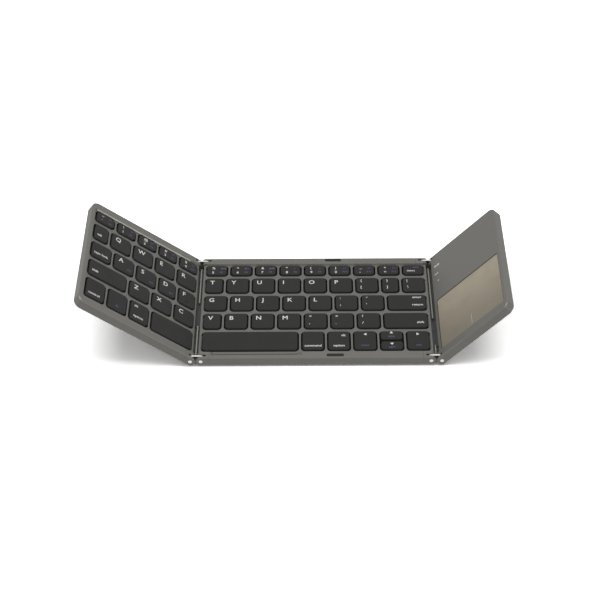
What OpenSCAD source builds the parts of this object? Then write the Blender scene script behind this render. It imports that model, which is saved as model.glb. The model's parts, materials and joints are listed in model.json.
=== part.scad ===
// Folding keyboard: a middle panel and two wings, joined by double hinges that lie flat when open.
// Each panel is drawn lying flat with its underside at z = 0, then lifted onto its feet and raised.
// A wing is drawn with its hinge pin at x = 0 and its outer edge on the far side.

/* [Panels] */
// Depth of every panel, front to rear
panel_depth = 98; // [90:0.5:108]
// Thickness of every panel, without the feet
panel_t = 6.5; // [6.4:0.1:7.4]
// Distance between the two hinge pins of the middle panel
middle_span = 147; // [140:0.5:160]
// Length of the left wing, from its hinge pin to its outer edge
left_span = 85.2; // [80:0.1:92]
// Length of the right wing, from its hinge pin to its outer edge
right_span = 60.6; // [58:0.1:66]
// Radius of the outer corners of the wings
corner_r = 5; // [3:0.5:7]
// Bevel along the outer edges of every panel
edge_bevel = 0.5; // [0.2:0.1:0.8]
// Thickness of the floor of the bottom covers
floor_t = 1; // [0.8:0.1:1.2]
// Thickness of the walls of the bottom covers
cover_wall = 1.2; // [0.8:0.1:1.6]
// Thickness of the walls of the top frames
frame_wall = 1.6; // [1:0.1:2]
// Height of the seam between cover and frame
seam_height = 2.4; // [2.2:0.1:2.8]
// How far the grille lies below the border
grille_drop = 1; // [0.6:0.1:1.2]
// Thickness of the grille between the keys
grille_t = 1.2; // [0.8:0.1:1.4]
// Width of the sloping step from the grille up to the border
step_run = 0.5; // [0.2:0.1:0.8]

/* [Rest pose] */
// How far the left wing is raised
left_raise = 37.2; // [0:0.1:80]
// How far the right wing is raised
right_raise = 48.2; // [0:0.1:80]

/* [Hinges] */
// Gap between two panels that are folded on each other
fold_gap = 0.3; // [0.3:0.05:1]
// Radius of the hinge pins
pin_r = 0.8; // [0.6:0.05:1]
// Radius of the pin heads
pin_head_r = 1.2; // [1.15:0.05:1.9]
// Thickness of the pin heads
pin_head_t = 0.5; // [0.3:0.05:0.8]
// Radial running clearance of the pins
pin_clear = 0.05; // [0.03:0.01:0.1]
// Wall of the knuckle in front of the link plate
outer_knuckle = 1.6; // [1.2:0.1:2]
// Wall of the knuckle behind the link plate
inner_knuckle = 2.6; // [2:0.1:3]
// Thickness of the link plates
link_t = 1.2; // [0.8:0.1:1.6]
// How much smaller than the knuckle the link plates are, at their edge
link_inset = 0.35; // [0.3:0.05:0.6]
// Gap on each side of a link plate in its slot
link_side_clear = 0.2; // [0.15:0.05:0.3]
// Gap between the end of a link plate and the end of its slot
link_end_clear = 0.3; // [0.2:0.05:0.5]
// Length of the solid knuckle block behind the slot
knuckle_web = 1.8; // [1.2:0.1:2.4]
// How far the middle panel reaches past its hinge pins
middle_reach = 1.6; // [0.6:0.1:1.8]
// How far the left wing reaches past its hinge pin
left_reach = 0.4; // [0:0.1:1]
// How far the right wing's edge lies behind its hinge pin
right_setback = 1.2; // [1:0.1:2]
// Width of the spine bar under the fold
spine_w = 1.2; // [0.8:0.1:1.4]
// Height of the spine bar
spine_h = 0.8; // [0.5:0.05:0.9]
// Width of the raised rib on the spine bar
rib_w = 0.8; // [0.5:0.1:0.9]
// Height of the raised rib on the spine bar
rib_h = 1.7; // [0.5:0.1:1.8]
// Thickness of the flex cable
flex_t = 0.3; // [0.2:0.05:0.4]
// Width of the left flex cable
left_flex_w = 22.5; // [8:0.5:30]
// From the front edge to the middle of the left flex cable
left_flex_front = 45.4; // [26:0.1:66]
// Width of the right flex cable
right_flex_w = 25.5; // [8:0.5:30]
// From the front edge to the middle of the right flex cable
right_flex_front = 27.8; // [24:0.1:66]

/* [Keys] */
// Width of a letter key
key_w = 15.2; // [14:0.1:16]
// Depth of the keys in the number row
number_key_d = 10.2; // [9:0.1:10.8]
// Depth of the keys in the front row
front_key_d = 17.8; // [16:0.1:18.4]
// Gap between neighbouring keys in a row
key_gap = 2.1; // [1.8:0.1:2.6]
// Gap between two rows of keys
row_gap = 2.8; // [2:0.1:3]
// Width of the narrow keys at the left end of the middle panel's rows
narrow_key_w = 12; // [10:0.1:13]
// Width of the closing bracket key
bracket_key_w = 11.6; // [10:0.1:13]
// Width of the two letter keys beside the fold on the left wing
fold_key_w = 13.2; // [12:0.1:14]
// Width of the arrow keys
arrow_key_w = 15; // [13:0.1:16]
// Width of the front row's modifier keys on the middle panel
middle_modifier_w = 14.6; // [13:0.1:16]
// Width of the front row's modifier keys on the left wing
left_modifier_w = 14.2; // [13:0.1:16]
// Gap between the up and down arrow keys
arrow_split = 0.8; // [0.6:0.1:1.2]
// Margin between the number row and the panel's rear edge
rear_margin = 7.3; // [7:0.1:8]
// Margin between the front row and the panel's front edge; the letter rows share the rest
front_margin = 7.1; // [6.8:0.1:9]
// Margin between the keys and the panel's hinge side
hinge_margin = 1.6; // [1.4:0.1:2]
// Margin between the keys and the left wing's outer edge
outer_margin = 3.8; // [3.4:0.1:5]
// Gap all round a key in its opening
opening_gap = 0.45; // [0.3:0.05:0.6]
// Corner radius of the keys
key_corner_r = 2.6; // [1.5:0.1:3]
// Bevel round the top of the keys
key_bevel = 0.45; // [0.2:0.05:0.6]
// Height of a keycap
cap_h = 2.5; // [2.2:0.05:2.6]
// How far the key tops lie below the border
key_drop = 0.1; // [0.05:0.05:0.4]
// Thickness of a keycap's top
cap_top_t = 1; // [0.7:0.1:1.2]
// Thickness of a keycap's walls
cap_wall = 0.9; // [0.6:0.1:1.2]
// Travel of a key
key_travel = 1.2; // [0.8:0.1:1.5]
// Radius of the plunger under a keycap
plunger_r = 1.5; // [1:0.1:1.8]
// Thickness of the switch sheets
sheet_t = 0.8; // [0.5:0.05:0.9]
// Height of the rubber collars on the switch sheets
collar_h = 1.7; // [1.2:0.1:1.8]
// Wall of the rubber collars
collar_wall = 0.5; // [0.3:0.05:0.7]
// Gap between a plunger and its collar
plunger_gap = 0.3; // [0.2:0.05:0.5]
// Depth of the level part of the thumb relief in front of the long space bar
relief_d = 2.3; // [1:0.1:2.5]
// Width of the slope in front of the thumb relief
relief_run = 1.4; // [0.5:0.1:1.6]

/* [Touch pad] */
// From the right wing's hinge pin to the touch pad
pad_hinge_margin = 3.4; // [3.2:0.1:10]
// Depth of the touch pad
pad_d = 45.4; // [40:0.1:47]
// From the right wing's outer edge to the touch pad
pad_outer_margin = 2.8; // [2.6:0.1:4]
// From the front edge to the touch pad
pad_front_margin = 6.8; // [6:0.1:9]
// Thickness of the touch pad
pad_t = 1.2; // [0.8:0.1:1.4]
// How far the touch pad lies below the border
pad_drop = 0.3; // [0.1:0.05:0.5]
// Gap all round the touch pad
pad_gap = 0.3; // [0.2:0.05:0.5]
// Corner radius of the touch pad
pad_corner_r = 1.2; // [0.6:0.1:3]
// Travel of the touch pad's click
pad_travel = 0.3; // [0.2:0.05:0.4]
// Thickness of the right wing's top plate over its cavity
top_skin = 1.5; // [1:0.1:1.8]

/* [Inside the right wing] */
// Thickness of the main board
board_t = 0.8; // [0.6:0.1:1]
// Side of a click switch
switch_w = 3.5; // [3:0.1:5]
// From the right wing's outer edge to the battery
battery_outer_gap = 3.2; // [2.8:0.1:8]
// From the rear edge to the battery
battery_rear_gap = 11.8; // [6:0.1:16]
// Thickness of the battery
battery_t = 3; // [2.5:0.1:3.4]
// Width of the charging port
port_w = 8.9; // [8.5:0.1:9.2]
// Height of the charging port
port_h = 3.1; // [2.9:0.05:3.15]
// Length of the charging port
port_l = 7; // [6:0.1:8]
// From the right hinge pin to the middle of the charging port
port_x = 13; // [12:0.1:14]
// Wall of the charging port's shell
port_shell = 0.3; // [0.2:0.05:0.4]
// Radius of the indicator lights
light_r = 0.6; // [0.4:0.05:0.8]
// From the right hinge pin to the indicator lights
light_x = 6.4; // [5:0.1:9]
// From the rear edge to the rearmost indicator light
light_margin = 12.6; // [11:0.1:18]
// Distance between the indicator lights
light_pitch = 7.6; // [5:0.1:9]

/* [Feet, bumpers and screws] */
// Height of the feet
foot_h = 1.2; // [0.8:0.1:2]
// Radius of the feet
foot_r = 4; // [3:0.1:5]
// From the panels' edges to the middle of the feet
foot_margin = 9; // [7:0.5:14]
// Length of the bumpers
bumper_l = 11; // [8:0.5:14]
// Width of the bumpers
bumper_w = 2.4; // [1.8:0.1:2.6]
// How far the bumpers sit in the border
bumper_sink = 1; // [0.6:0.1:1.4]
// How far the bumpers stand above the border
bumper_proud = 0.1; // [0.05:0.05:0.2]
// From the front and rear edges to the middle of the bumpers
bumper_margin = 2.4; // [2.2:0.1:2.8]
// Radius of the screws' shafts
screw_r = 0.75; // [0.6:0.05:0.8]
// Radius of the screw heads
screw_head_r = 1.4; // [1.2:0.05:1.5]
// Thickness of the screw heads
screw_head_t = 0.5; // [0.4:0.05:0.6]
// Length of the screws, head included
screw_l = 3.5; // [3:0.1:3.8]
// Radius of the screw bosses
boss_r = 1.7; // [1.4:0.1:1.8]
// From the front and rear edges to the screws
screw_margin = 3.2; // [3:0.1:3.4]
// From the middle panel's hinge pins to its end screws
middle_screw_inset = 15; // [12:0.5:20]
// From the left wing's hinge pin to its first screw
left_screw_inset = 12; // [10:0.5:16]
// From the right wing's hinge pin to its first screw
right_screw_inset = 25; // [22:0.5:28]

/* [Hidden] */
$fn = 48;
clear = 0.02;          // radial clearance of fixed round parts
seat = 0.1;            // gap between fixed parts that stand side by side
over = 1;              // overshoot of cuts
half_d = panel_depth / 2;
pin_z = panel_t / 2;
left_flex_y = left_flex_front - half_d;
right_flex_y = right_flex_front - half_d;
knuckle_r = panel_t / 2;
hinge_pitch = panel_t + fold_gap;
middle_pin_x = middle_span / 2;
wing_pin_x = middle_pin_x + hinge_pitch;
link_r = knuckle_r - link_inset;
slot_w = link_t + 2 * link_side_clear;
knuckle_l = outer_knuckle + slot_w + inner_knuckle;
slot_reach = link_r + link_end_clear;
block_l = slot_reach + knuckle_web;
pin_l = knuckle_l - 2 * pin_clear - 0.4;
inside_y = half_d - knuckle_l - 2 * seat;

grille_top = panel_t - grille_drop;
grille_under = grille_top - grille_t;
cap_z = panel_t - key_drop - cap_h;
sheet_top = floor_t + sheet_t;
plunger_bottom = sheet_top + key_travel + seat;

// the keys, row by row: a name and a width, where 0 takes what the rest of the row leaves
key_rear_y = half_d - rear_margin;
letter_rows_d = panel_depth - rear_margin - front_margin - number_key_d - front_key_d - 4 * row_gap;
key_d = letter_rows_d / 3;
row_depths = [number_key_d, key_d, key_d, key_d, front_key_d];
middle_edge_x = middle_pin_x + middle_reach;
middle_field_w = 2 * (middle_edge_x - hinge_margin);
middle_number_w = (middle_field_w - 8 * key_gap) / 9;
left_field_w = left_span - outer_margin + left_reach - hinge_margin;
left_number_w = (left_field_w - 4 * key_gap) / 5;
middle_rows = [
    [for (name = ["5", "6", "7", "8", "9", "0", "minus", "equals", "delete"])
        [name, middle_number_w]],
    [["t", narrow_key_w], ["y", key_w], ["u", key_w], ["i", key_w], ["o", key_w], ["p", key_w],
     ["open_bracket", key_w], ["close_bracket", bracket_key_w], ["backslash", 0]],
    [["g", key_w], ["h", key_w], ["j", key_w], ["k", key_w], ["l", key_w],
     ["semicolon", key_w], ["quote", key_w], ["enter", 0]],
    [["v", narrow_key_w], ["b", key_w], ["n", key_w], ["m", key_w],
     ["comma", key_w], ["period", key_w], ["slash", key_w], ["right_shift", 0]],
    [["middle_space", 0], ["right_command", middle_modifier_w], ["right_option", middle_modifier_w],
     ["arrow_left", arrow_key_w], ["arrows_up_down", arrow_key_w], ["arrow_right", arrow_key_w]]
];
left_rows = [
    [for (name = ["grave", "1", "2", "3", "4"]) [name, left_number_w]],
    [["tab", 0], ["q", key_w], ["w", key_w], ["e", key_w], ["r", key_w]],
    [["caps_lock", 0], ["a", key_w], ["s", key_w], ["d", fold_key_w], ["f", fold_key_w]],
    [["left_shift", 0], ["z", key_w], ["x", key_w], ["c", key_w]],
    [["control", left_modifier_w], ["function", left_modifier_w], ["left_option", left_modifier_w],
     ["left_space", 0]]
];
function sum_to(list, n) = n <= 0 ? 0 : list[n - 1] + sum_to(list, n - 1);
function widths(row, field_w) =
    let (given = [for (key = row) key[1]])
    let (rest = field_w - key_gap * (len(row) - 1) - sum_to(given, len(row)))
    [for (w = given) w == 0 ? rest : w];
function row_y(r) = key_rear_y - sum_to(row_depths, r) - r * row_gap - row_depths[r] / 2;
// a key is its name, the middle of its outline, its width and its depth
function place_row(row, r, field_x, field_w) =
    let (w = widths(row, field_w))
    [for (i = [0 : len(row) - 1])
        [row[i][0], field_x + sum_to(w, i) + i * key_gap + w[i] / 2, row_y(r), w[i], row_depths[r]]];
function split_arrows(key) =
    key[0] != "arrows_up_down" ? [key] :
    let (d = (key[4] - arrow_split) / 2)
    [["arrow_up", key[1], key[2] + (d + arrow_split) / 2, key[3], d],
     ["arrow_down", key[1], key[2] - (d + arrow_split) / 2, key[3], d]];
function place_rows(rows, field_x, field_w) =
    [for (r = [0 : len(rows) - 1]) each place_row(rows[r], r, field_x, field_w)];
left_field_x = -(left_span - outer_margin);
middle_places = place_rows(middle_rows, -middle_field_w / 2, middle_field_w);
left_places = place_rows(left_rows, left_field_x, left_field_w);
middle_keys = [for (key = middle_places) each split_arrows(key)];
left_keys = left_places;
MIDDLE_SINGLES = [
    "t", "y", "u", "i", "o", "p", "g", "h", "j", "k", "l", "v", "b", "n", "m", "middle_space"
];
LEFT_SINGLES = ["q", "w", "e", "r", "a", "s", "d", "f", "z", "x", "c", "left_space"];
function is_in(name, list) = len([for (item = list) if (item == name) 1]) > 0;

space_key = [for (key = middle_keys) if (key[0] == "middle_space") key][0];
field_margin = opening_gap + 0.35;
field_rear_y = key_rear_y + field_margin;
field_front_y = row_y(4) - front_key_d / 2 - field_margin;
left_field_end_x = left_field_x - field_margin;
bumper_x = (left_span - right_span) / 2;
middle_screw_xs = [-middle_pin_x + middle_screw_inset, -bumper_x, middle_pin_x - middle_screw_inset];
left_screw_xs = [left_screw_inset, left_span / 2, left_span - corner_r - 3];
right_screw_xs = [right_screw_inset, right_span - corner_r - 3];
pad_w = right_span - pad_outer_margin - pad_hinge_margin;
pad_x = right_span - pad_outer_margin - pad_w / 2;
pad_y = -half_d + pad_front_margin + pad_d / 2;
pad_z = panel_t - pad_drop - pad_t;
board_top = floor_t + board_t;
nub_h = 0.3;
switch_top = pad_z - nub_h - pad_travel - 0.05;
port_z = board_top;
pad_rear_y = pad_y + pad_d / 2;
battery_x0 = port_x + port_w / 2 + 2;
battery_y0 = pad_rear_y + 3;
light_rear_y = half_d - light_margin;

// the panels' reach to each side, with the wings raised, sets the middle of the whole
left_reach_x = wing_pin_x + left_span * cos(left_raise) + (pin_z - edge_bevel) * sin(left_raise);
right_reach_x = wing_pin_x + right_span * cos(right_raise) + (pin_z - edge_bevel) * sin(right_raise);
stand_x = (left_reach_x - right_reach_x) / 2;

case_colour = "#6d6c67";
grille_colour = "#757470";
key_colour = "#39393a";
bright_colour = "#e2e2e0";
steel_colour = "#a9abad";
rubber_colour = "#2b2b2b";
pad_colour = "#8d826c";

// ---- places of the panels and folds ----

module on_middle() {
    translate([stand_x, 0, foot_h]) children();
}

module on_left_fold() {
    translate([stand_x - middle_pin_x, 0, foot_h + pin_z]) mirror([1, 0, 0]) children();
}

module on_right_fold() {
    translate([stand_x + middle_pin_x, 0, foot_h + pin_z]) children();
}

// children of the left wing have their outer edge at negative x
module on_left_wing() {
    translate([stand_x - wing_pin_x, 0, foot_h + pin_z]) rotate([0, left_raise, 0])
        translate([0, 0, -pin_z]) children();
}

module on_right_wing() {
    translate([stand_x + wing_pin_x, 0, foot_h + pin_z]) rotate([0, -right_raise, 0])
        translate([0, 0, -pin_z]) children();
}

// ---- shapes ----

module rounded_outline(w, d, r) {
    square([w - 2 * r, d], center = true);
    square([w, d - 2 * r], center = true);
    for (sx = [-1, 1], sy = [-1, 1]) translate([sx * (w / 2 - r), sy * (d / 2 - r)]) circle(r);
}

module rounded_prism(w, d, h, r) {
    linear_extrude(h) rounded_outline(w, d, r);
}

// a profile of [y, z] points drawn out along x, and one of [x, z] points drawn out along y
module along_x(x0, x1, points) {
    translate([x0, 0, 0]) rotate([90, 0, 90]) linear_extrude(x1 - x0) polygon(points);
}

module along_y(y0, y1, points) {
    translate([0, y1, 0]) rotate([90, 0, 0]) linear_extrude(y1 - y0) polygon(points);
}

function bevelled_profile(half, h, top, bottom) = concat(
    bottom > 0 ? [[-half, bottom], [-half + bottom, 0], [half - bottom, 0], [half, bottom]]
               : [[-half, 0], [half, 0]],
    [[half, h - top], [half - top, h], [-half + top, h], [-half, h - top]]);
function half_bevelled_profile(r, h, top, bottom) = concat(
    [[0, 0]], bottom > 0 ? [[r - bottom, 0], [r, bottom]] : [[r, 0]],
    [[r, h - top], [r - top, h], [0, h]]);

// a rounded block on z = 0 with its top and bottom edges bevelled
module bevelled_block(w, d, h, r, top, bottom) {
    along_x(-w / 2 + r, w / 2 - r, bevelled_profile(d / 2, h, top, bottom));
    along_y(-d / 2 + r, d / 2 - r, bevelled_profile(w / 2, h, top, bottom));
    for (sx = [-1, 1], sy = [-1, 1]) translate([sx * (w / 2 - r), sy * (d / 2 - r), 0])
        rotate_extrude() polygon(half_bevelled_profile(r, h, top, bottom));
}

module at_both_ends() {
    children();
    mirror([0, 1, 0]) children();
}

module at_middle_pins() {
    for (side = [0, 1]) mirror([side, 0, 0]) translate([-middle_pin_x, 0, 0]) at_both_ends() children();
}

// ---- hinge parts that belong to a panel: the pin at x = 0 and the panel at positive x ----

module knuckle_block() {
    translate([0, half_d, pin_z]) rotate([90, 0, 0]) cylinder(r = knuckle_r, h = knuckle_l);
    translate([0, half_d - knuckle_l, 0]) cube([block_l, knuckle_l, panel_t]);
}

module knuckle_notch() {
    translate([-knuckle_r - over, half_d - knuckle_l - seat, -over])
        cube([knuckle_r + over + block_l + seat, knuckle_l + seat + over, panel_t + 2 * over]);
}

module knuckle_cuts() {
    translate([-knuckle_r - over, half_d - outer_knuckle - slot_w, -over])
        cube([knuckle_r + over + slot_reach, slot_w, panel_t + 2 * over]);
    translate([0, half_d + over, pin_z]) rotate([90, 0, 0]) {
        cylinder(r = pin_r + pin_clear, h = over + pin_l + pin_clear);
        cylinder(r = pin_head_r + pin_clear, h = over + pin_head_t + pin_clear);
    }
}

// ---- covers and frames ----

module middle_envelope() {
    along_x(-middle_pin_x - knuckle_r, middle_pin_x + knuckle_r,
        bevelled_profile(half_d, panel_t, edge_bevel, edge_bevel));
}

// the outside of a wing: its far corners are rounded, its near ones lie past the knuckles
module wing_envelope(span) {
    near_x = -knuckle_r - corner_r - over;
    translate([(span + near_x) / 2, 0, 0])
        bevelled_block(span - near_x, panel_depth, panel_t, corner_r, edge_bevel, edge_bevel);
}

// the hollow of a wing, with its far corners rounded to keep the wall even
module wing_hollow(span, near_x, wall, z0, z1) {
    r = corner_r - wall;
    w = span - wall - near_x;
    translate([near_x + w / 2, 0, z0]) linear_extrude(z1 - z0) {
        translate([-r / 2, 0]) square([w - r, panel_depth - 2 * wall], center = true);
        square([w, panel_depth - 2 * wall - 2 * r], center = true);
        for (sy = [-1, 1]) translate([w / 2 - r, sy * (half_d - wall - r)]) circle(r);
    }
}

module screw_holes(xs) {
    at_both_ends() for (x = xs) translate([x, half_d - screw_margin, -over]) {
        cylinder(r = screw_r + seat, h = floor_t + 2 * over);
        cylinder(r = screw_head_r + clear, h = over + screw_head_t);
    }
}

module screw_bosses(xs, z1) {
    at_both_ends() for (x = xs) translate([x, half_d - screw_margin, floor_t]) difference() {
        cylinder(r = boss_r, h = z1 - floor_t + seat);
        translate([0, 0, -over]) cylinder(r = screw_r + clear, h = over + screw_l + seat - floor_t);
    }
}

module screws(xs) {
    at_both_ends() for (x = xs) translate([x, half_d - screw_margin, 0]) {
        cylinder(r = screw_head_r, h = screw_head_t);
        cylinder(r = screw_r, h = screw_l);
    }
}

module flex_slot(y, w, x0, x1) {
    translate([x0, y - w / 2 - seat, flex_z - seat]) cube([x1 - x0, w + 2 * seat, flex_t + 2 * seat]);
}

module middle_bottom_cover() {
    color(case_colour) on_middle() difference() {
        intersection() {
            middle_envelope();
            union() {
                difference() {
                    translate([-middle_edge_x, -half_d, 0])
                        cube([2 * middle_edge_x, panel_depth, seam_height]);
                    translate([-middle_edge_x + cover_wall, -half_d + cover_wall, floor_t])
                        cube([2 * (middle_edge_x - cover_wall), panel_depth - 2 * cover_wall, panel_t]);
                }
                at_middle_pins() knuckle_block();
            }
        }
        at_middle_pins() knuckle_cuts();
        screw_holes(middle_screw_xs);
        flex_slot(left_flex_y, left_flex_w, -middle_edge_x - over, -middle_edge_x + cover_wall + over);
        flex_slot(right_flex_y, right_flex_w, middle_edge_x - cover_wall - over, middle_edge_x + over);
    }
}

module key_openings(keys) {
    for (key = keys) translate([key[1], key[2], grille_under - over])
        rounded_prism(key[3] + 2 * opening_gap, key[4] + 2 * opening_gap, panel_t,
            key_corner_r + opening_gap);
}

// the sunk field that the grille fills, with a sloping step at its front and rear
module field_cut(x0, x1) {
    rise = panel_t + over - grille_top;
    run = step_run * rise / grille_drop;
    along_x(x0, x1, [
        [field_front_y, grille_under], [field_rear_y, grille_under],
        [field_rear_y, grille_top], [field_rear_y + run, panel_t + over],
        [field_front_y - run, panel_t + over], [field_front_y, grille_top]]);
}

// next to the pins the ends of the border are cut down to the grille, so that the folds clear them
module fold_relief() {
    translate([-knuckle_r - over, field_rear_y - over, grille_top])
        cube([knuckle_r + over, half_d - field_rear_y + over, panel_t]);
}

module thumb_relief() {
    x0 = space_key[1] - space_key[3] / 2 + 7;
    x1 = space_key[1] + space_key[3] / 2 + key_gap / 2;
    rise = panel_t + over - grille_top;
    run = relief_run * rise / grille_drop;
    front_y = field_front_y - relief_d;
    intersection() {
        along_x(x0 - 2 * rise, x1 + 2 * rise, [[front_y, grille_top], [field_front_y + over, grille_top],
            [field_front_y + over, panel_t + over], [front_y - run, panel_t + over]]);
        along_y(-half_d, field_front_y + over, [[x0, grille_top], [x1, grille_top],
            [x1 + run, panel_t + over], [x0 - run, panel_t + over]]);
    }
}

module bumper_outline(grow) {
    rounded_outline(bumper_l + 2 * grow, bumper_w + 2 * grow, bumper_w / 2 - 0.2 + grow);
}

module middle_top_frame() {
    color(case_colour) on_middle() difference() {
        union() {
            difference() {
                intersection() {
                    middle_envelope();
                    translate([-middle_edge_x, -half_d, seam_height])
                        cube([2 * middle_edge_x, panel_depth, panel_t]);
                }
                translate([-middle_edge_x + frame_wall, -half_d + frame_wall, 0])
                    cube([2 * (middle_edge_x - frame_wall), panel_depth - 2 * frame_wall, grille_under]);
                field_cut(-middle_edge_x - over, middle_edge_x + over);
                thumb_relief();
                at_both_ends() translate([bumper_x, half_d - bumper_margin, panel_t - bumper_sink])
                    linear_extrude(panel_t) bumper_outline(clear);
            }
            screw_bosses(middle_screw_xs, grille_under);
        }
        at_middle_pins() {
            knuckle_notch();
            fold_relief();
        }
    }
}

module middle_key_grille() {
    color(grille_colour) on_middle() difference() {
        translate([-middle_edge_x, field_front_y, grille_under])
            cube([2 * middle_edge_x, field_rear_y - field_front_y, grille_t]);
        key_openings(middle_places);
    }
}

module wing_cover(span, near_x, screw_xs) {
    difference() {
        intersection() {
            wing_envelope(span);
            union() {
                difference() {
                    translate([near_x, -half_d, 0]) cube([span - near_x, panel_depth, seam_height]);
                    wing_hollow(span, near_x + cover_wall, cover_wall, floor_t, panel_t);
                }
                at_both_ends() knuckle_block();
            }
        }
        at_both_ends() knuckle_cuts();
        screw_holes(screw_xs);
    }
}

module wing_top(span, near_x, under_z, screw_xs) {
    difference() {
        union() {
            difference() {
                intersection() {
                    wing_envelope(span);
                    translate([near_x, -half_d, seam_height]) cube([span - near_x, panel_depth, panel_t]);
                }
                wing_hollow(span, near_x + frame_wall, frame_wall, 0, under_z);
            }
            screw_bosses(screw_xs, under_z);
        }
        at_both_ends() knuckle_notch();
    }
}

module left_bottom_cover() {
    color(case_colour) on_left_wing() difference() {
        mirror([1, 0, 0]) wing_cover(left_span, -left_reach, left_screw_xs);
        flex_slot(left_flex_y, left_flex_w, left_reach - cover_wall - over, left_reach + over);
    }
}

module left_top_frame() {
    rise = panel_t + over - grille_top;
    run = step_run * rise / grille_drop;
    color(case_colour) on_left_wing() difference() {
        mirror([1, 0, 0]) wing_top(left_span, -left_reach, grille_under, left_screw_xs);
        intersection() {
            field_cut(-left_span, left_reach + over);
            along_y(-half_d, half_d, [
                [left_field_end_x, grille_under - over], [left_reach + over, grille_under - over],
                [left_reach + over, panel_t + over], [left_field_end_x - run, panel_t + over],
                [left_field_end_x, grille_top]]);
        }
        mirror([1, 0, 0]) at_both_ends() fold_relief();
    }
}

module left_key_grille() {
    color(grille_colour) on_left_wing() difference() {
        translate([left_field_end_x, field_front_y, grille_under])
            cube([left_reach - left_field_end_x, field_rear_y - field_front_y, grille_t]);
        key_openings(left_places);
    }
}

module right_bottom_cover() {
    color(case_colour) on_right_wing() difference() {
        wing_cover(right_span, right_setback, right_screw_xs);
        flex_slot(right_flex_y, right_flex_w, right_setback - over, right_setback + cover_wall + over);
        port_opening();
    }
}

module port_opening() {
    translate([port_x, half_d + over, port_z + port_h / 2]) rotate([90, 0, 0])
        linear_extrude(port_l) rounded_outline(port_w + 2 * seat, port_h + 2 * seat, port_h / 2 - clear);
}

module right_top_plate() {
    color(case_colour) on_right_wing() difference() {
        wing_top(right_span, right_setback, panel_t - top_skin, right_screw_xs);
        translate([pad_x, pad_y, panel_t - top_skin - over])
            rounded_prism(pad_w + 2 * pad_gap, pad_d + 2 * pad_gap, panel_t, pad_corner_r + pad_gap);
        for (i = [0 : 2]) translate([light_x, light_rear_y - i * light_pitch, 0])
            cylinder(r = light_r + clear, h = panel_t + over);
        port_opening();
    }
}

// ---- inside the middle panel and the left wing ----

module sheet(x0, x1) {
    translate([x0, -inside_y, floor_t]) cube([x1 - x0, 2 * inside_y, sheet_t]);
}

module collars(keys) {
    for (key = keys) translate([key[1], key[2], sheet_top - clear]) difference() {
        cylinder(r = plunger_r + plunger_gap + collar_wall, h = collar_h + clear);
        translate([0, 0, clear]) cylinder(r = plunger_r + plunger_gap, h = collar_h + over);
    }
}

inset = cover_wall + 0.7;
left_sheet_x = left_span - cover_wall - 0.7;

module middle_switch_sheet() {
    color(rubber_colour) on_middle() {
        sheet(-middle_edge_x + inset, middle_edge_x - inset);
        collars(middle_keys);
    }
}

module left_switch_sheet() {
    color(rubber_colour) on_left_wing() {
        sheet(-left_sheet_x, left_reach - inset);
        collars(left_keys);
    }
}

// ---- inside the right wing ----

module touch_pad() {
    color(pad_colour) on_right_wing() {
        translate([pad_x, pad_y, pad_z]) bevelled_block(pad_w, pad_d, pad_t, pad_corner_r, seat, 0);
        at_click_switches() translate([0, 0, pad_z - nub_h]) cylinder(r = 1, h = nub_h + clear);
    }
}

module at_click_switches() {
    for (sx = [-1, 1]) translate([pad_x + sx * pad_w / 4, pad_y - pad_d / 2 + 5, 0]) children();
}

module main_board() {
    near_x = right_setback + inset;
    color("#2f5d3a") on_right_wing() {
        translate([near_x, -inside_y, floor_t])
            cube([right_span - cover_wall - 1 - near_x, pad_rear_y + inside_y, board_t]);
        translate([near_x, pad_rear_y - over, floor_t])
            cube([port_x + port_w / 2 - near_x, light_rear_y + 3 - pad_rear_y + over, board_t]);
        translate([port_x - port_w / 2, light_rear_y, floor_t])
            cube([port_w, half_d - cover_wall - seat - light_rear_y, board_t]);
        for (i = [0 : 2])
            translate([light_x - 0.5, light_rear_y - i * light_pitch - 0.8, board_top - clear])
                cube([1, 1.6, 0.6]);
        at_click_switches() translate([-switch_w / 2, -switch_w / 2, board_top - clear])
            cube([switch_w, switch_w, switch_top - board_top + clear]);
        translate([pad_x, pad_y, board_top - clear]) {
            translate([-6, -3, 0]) cube([7, 7, 1]);
            translate([6, -2, 0]) cube([4, 5, 1]);
        }
    }
}

module battery() {
    color("#b9bcc0") on_right_wing() translate([battery_x0, battery_y0, floor_t])
        cube([right_span - battery_outer_gap - battery_x0,
              half_d - battery_rear_gap - battery_y0, battery_t]);
}

module charging_port() {
    hollow_l = port_l - 0.8;
    color(bright_colour) on_right_wing() translate([port_x, half_d - seat, port_z + port_h / 2])
        rotate([90, 0, 0]) {
            difference() {
                linear_extrude(port_l) rounded_outline(port_w, port_h, port_h / 2 - clear);
                translate([0, 0, -over]) linear_extrude(over + hollow_l)
                    rounded_outline(port_w - 2 * port_shell, port_h - 2 * port_shell,
                        port_h / 2 - port_shell - clear);
            }
            translate([-port_w / 2 + 1.1, -0.35, 1]) cube([port_w - 2.2, 0.7, hollow_l]);
        }
}

module indicator_lights() {
    color("#dfe4e2") on_right_wing() for (i = [0 : 2])
        translate([light_x, light_rear_y - i * light_pitch, panel_t - top_skin])
            cylinder(r = light_r, h = top_skin);
}

// ---- feet, bumpers and screws ----

module foot() {
    translate([0, 0, -foot_h]) cylinder(r = foot_r, h = foot_h);
}

module middle_feet() {
    color(rubber_colour) on_middle() at_both_ends() for (sx = [-1, 1])
        translate([sx * (middle_edge_x - foot_margin), half_d - foot_margin, 0]) foot();
}

module left_feet() {
    color(rubber_colour) on_left_wing() at_both_ends()
        translate([-(left_span - foot_margin), half_d - foot_margin, 0]) foot();
}

module right_feet() {
    color(rubber_colour) on_right_wing() at_both_ends()
        translate([right_span - foot_margin, half_d - foot_margin, 0]) foot();
}

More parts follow.
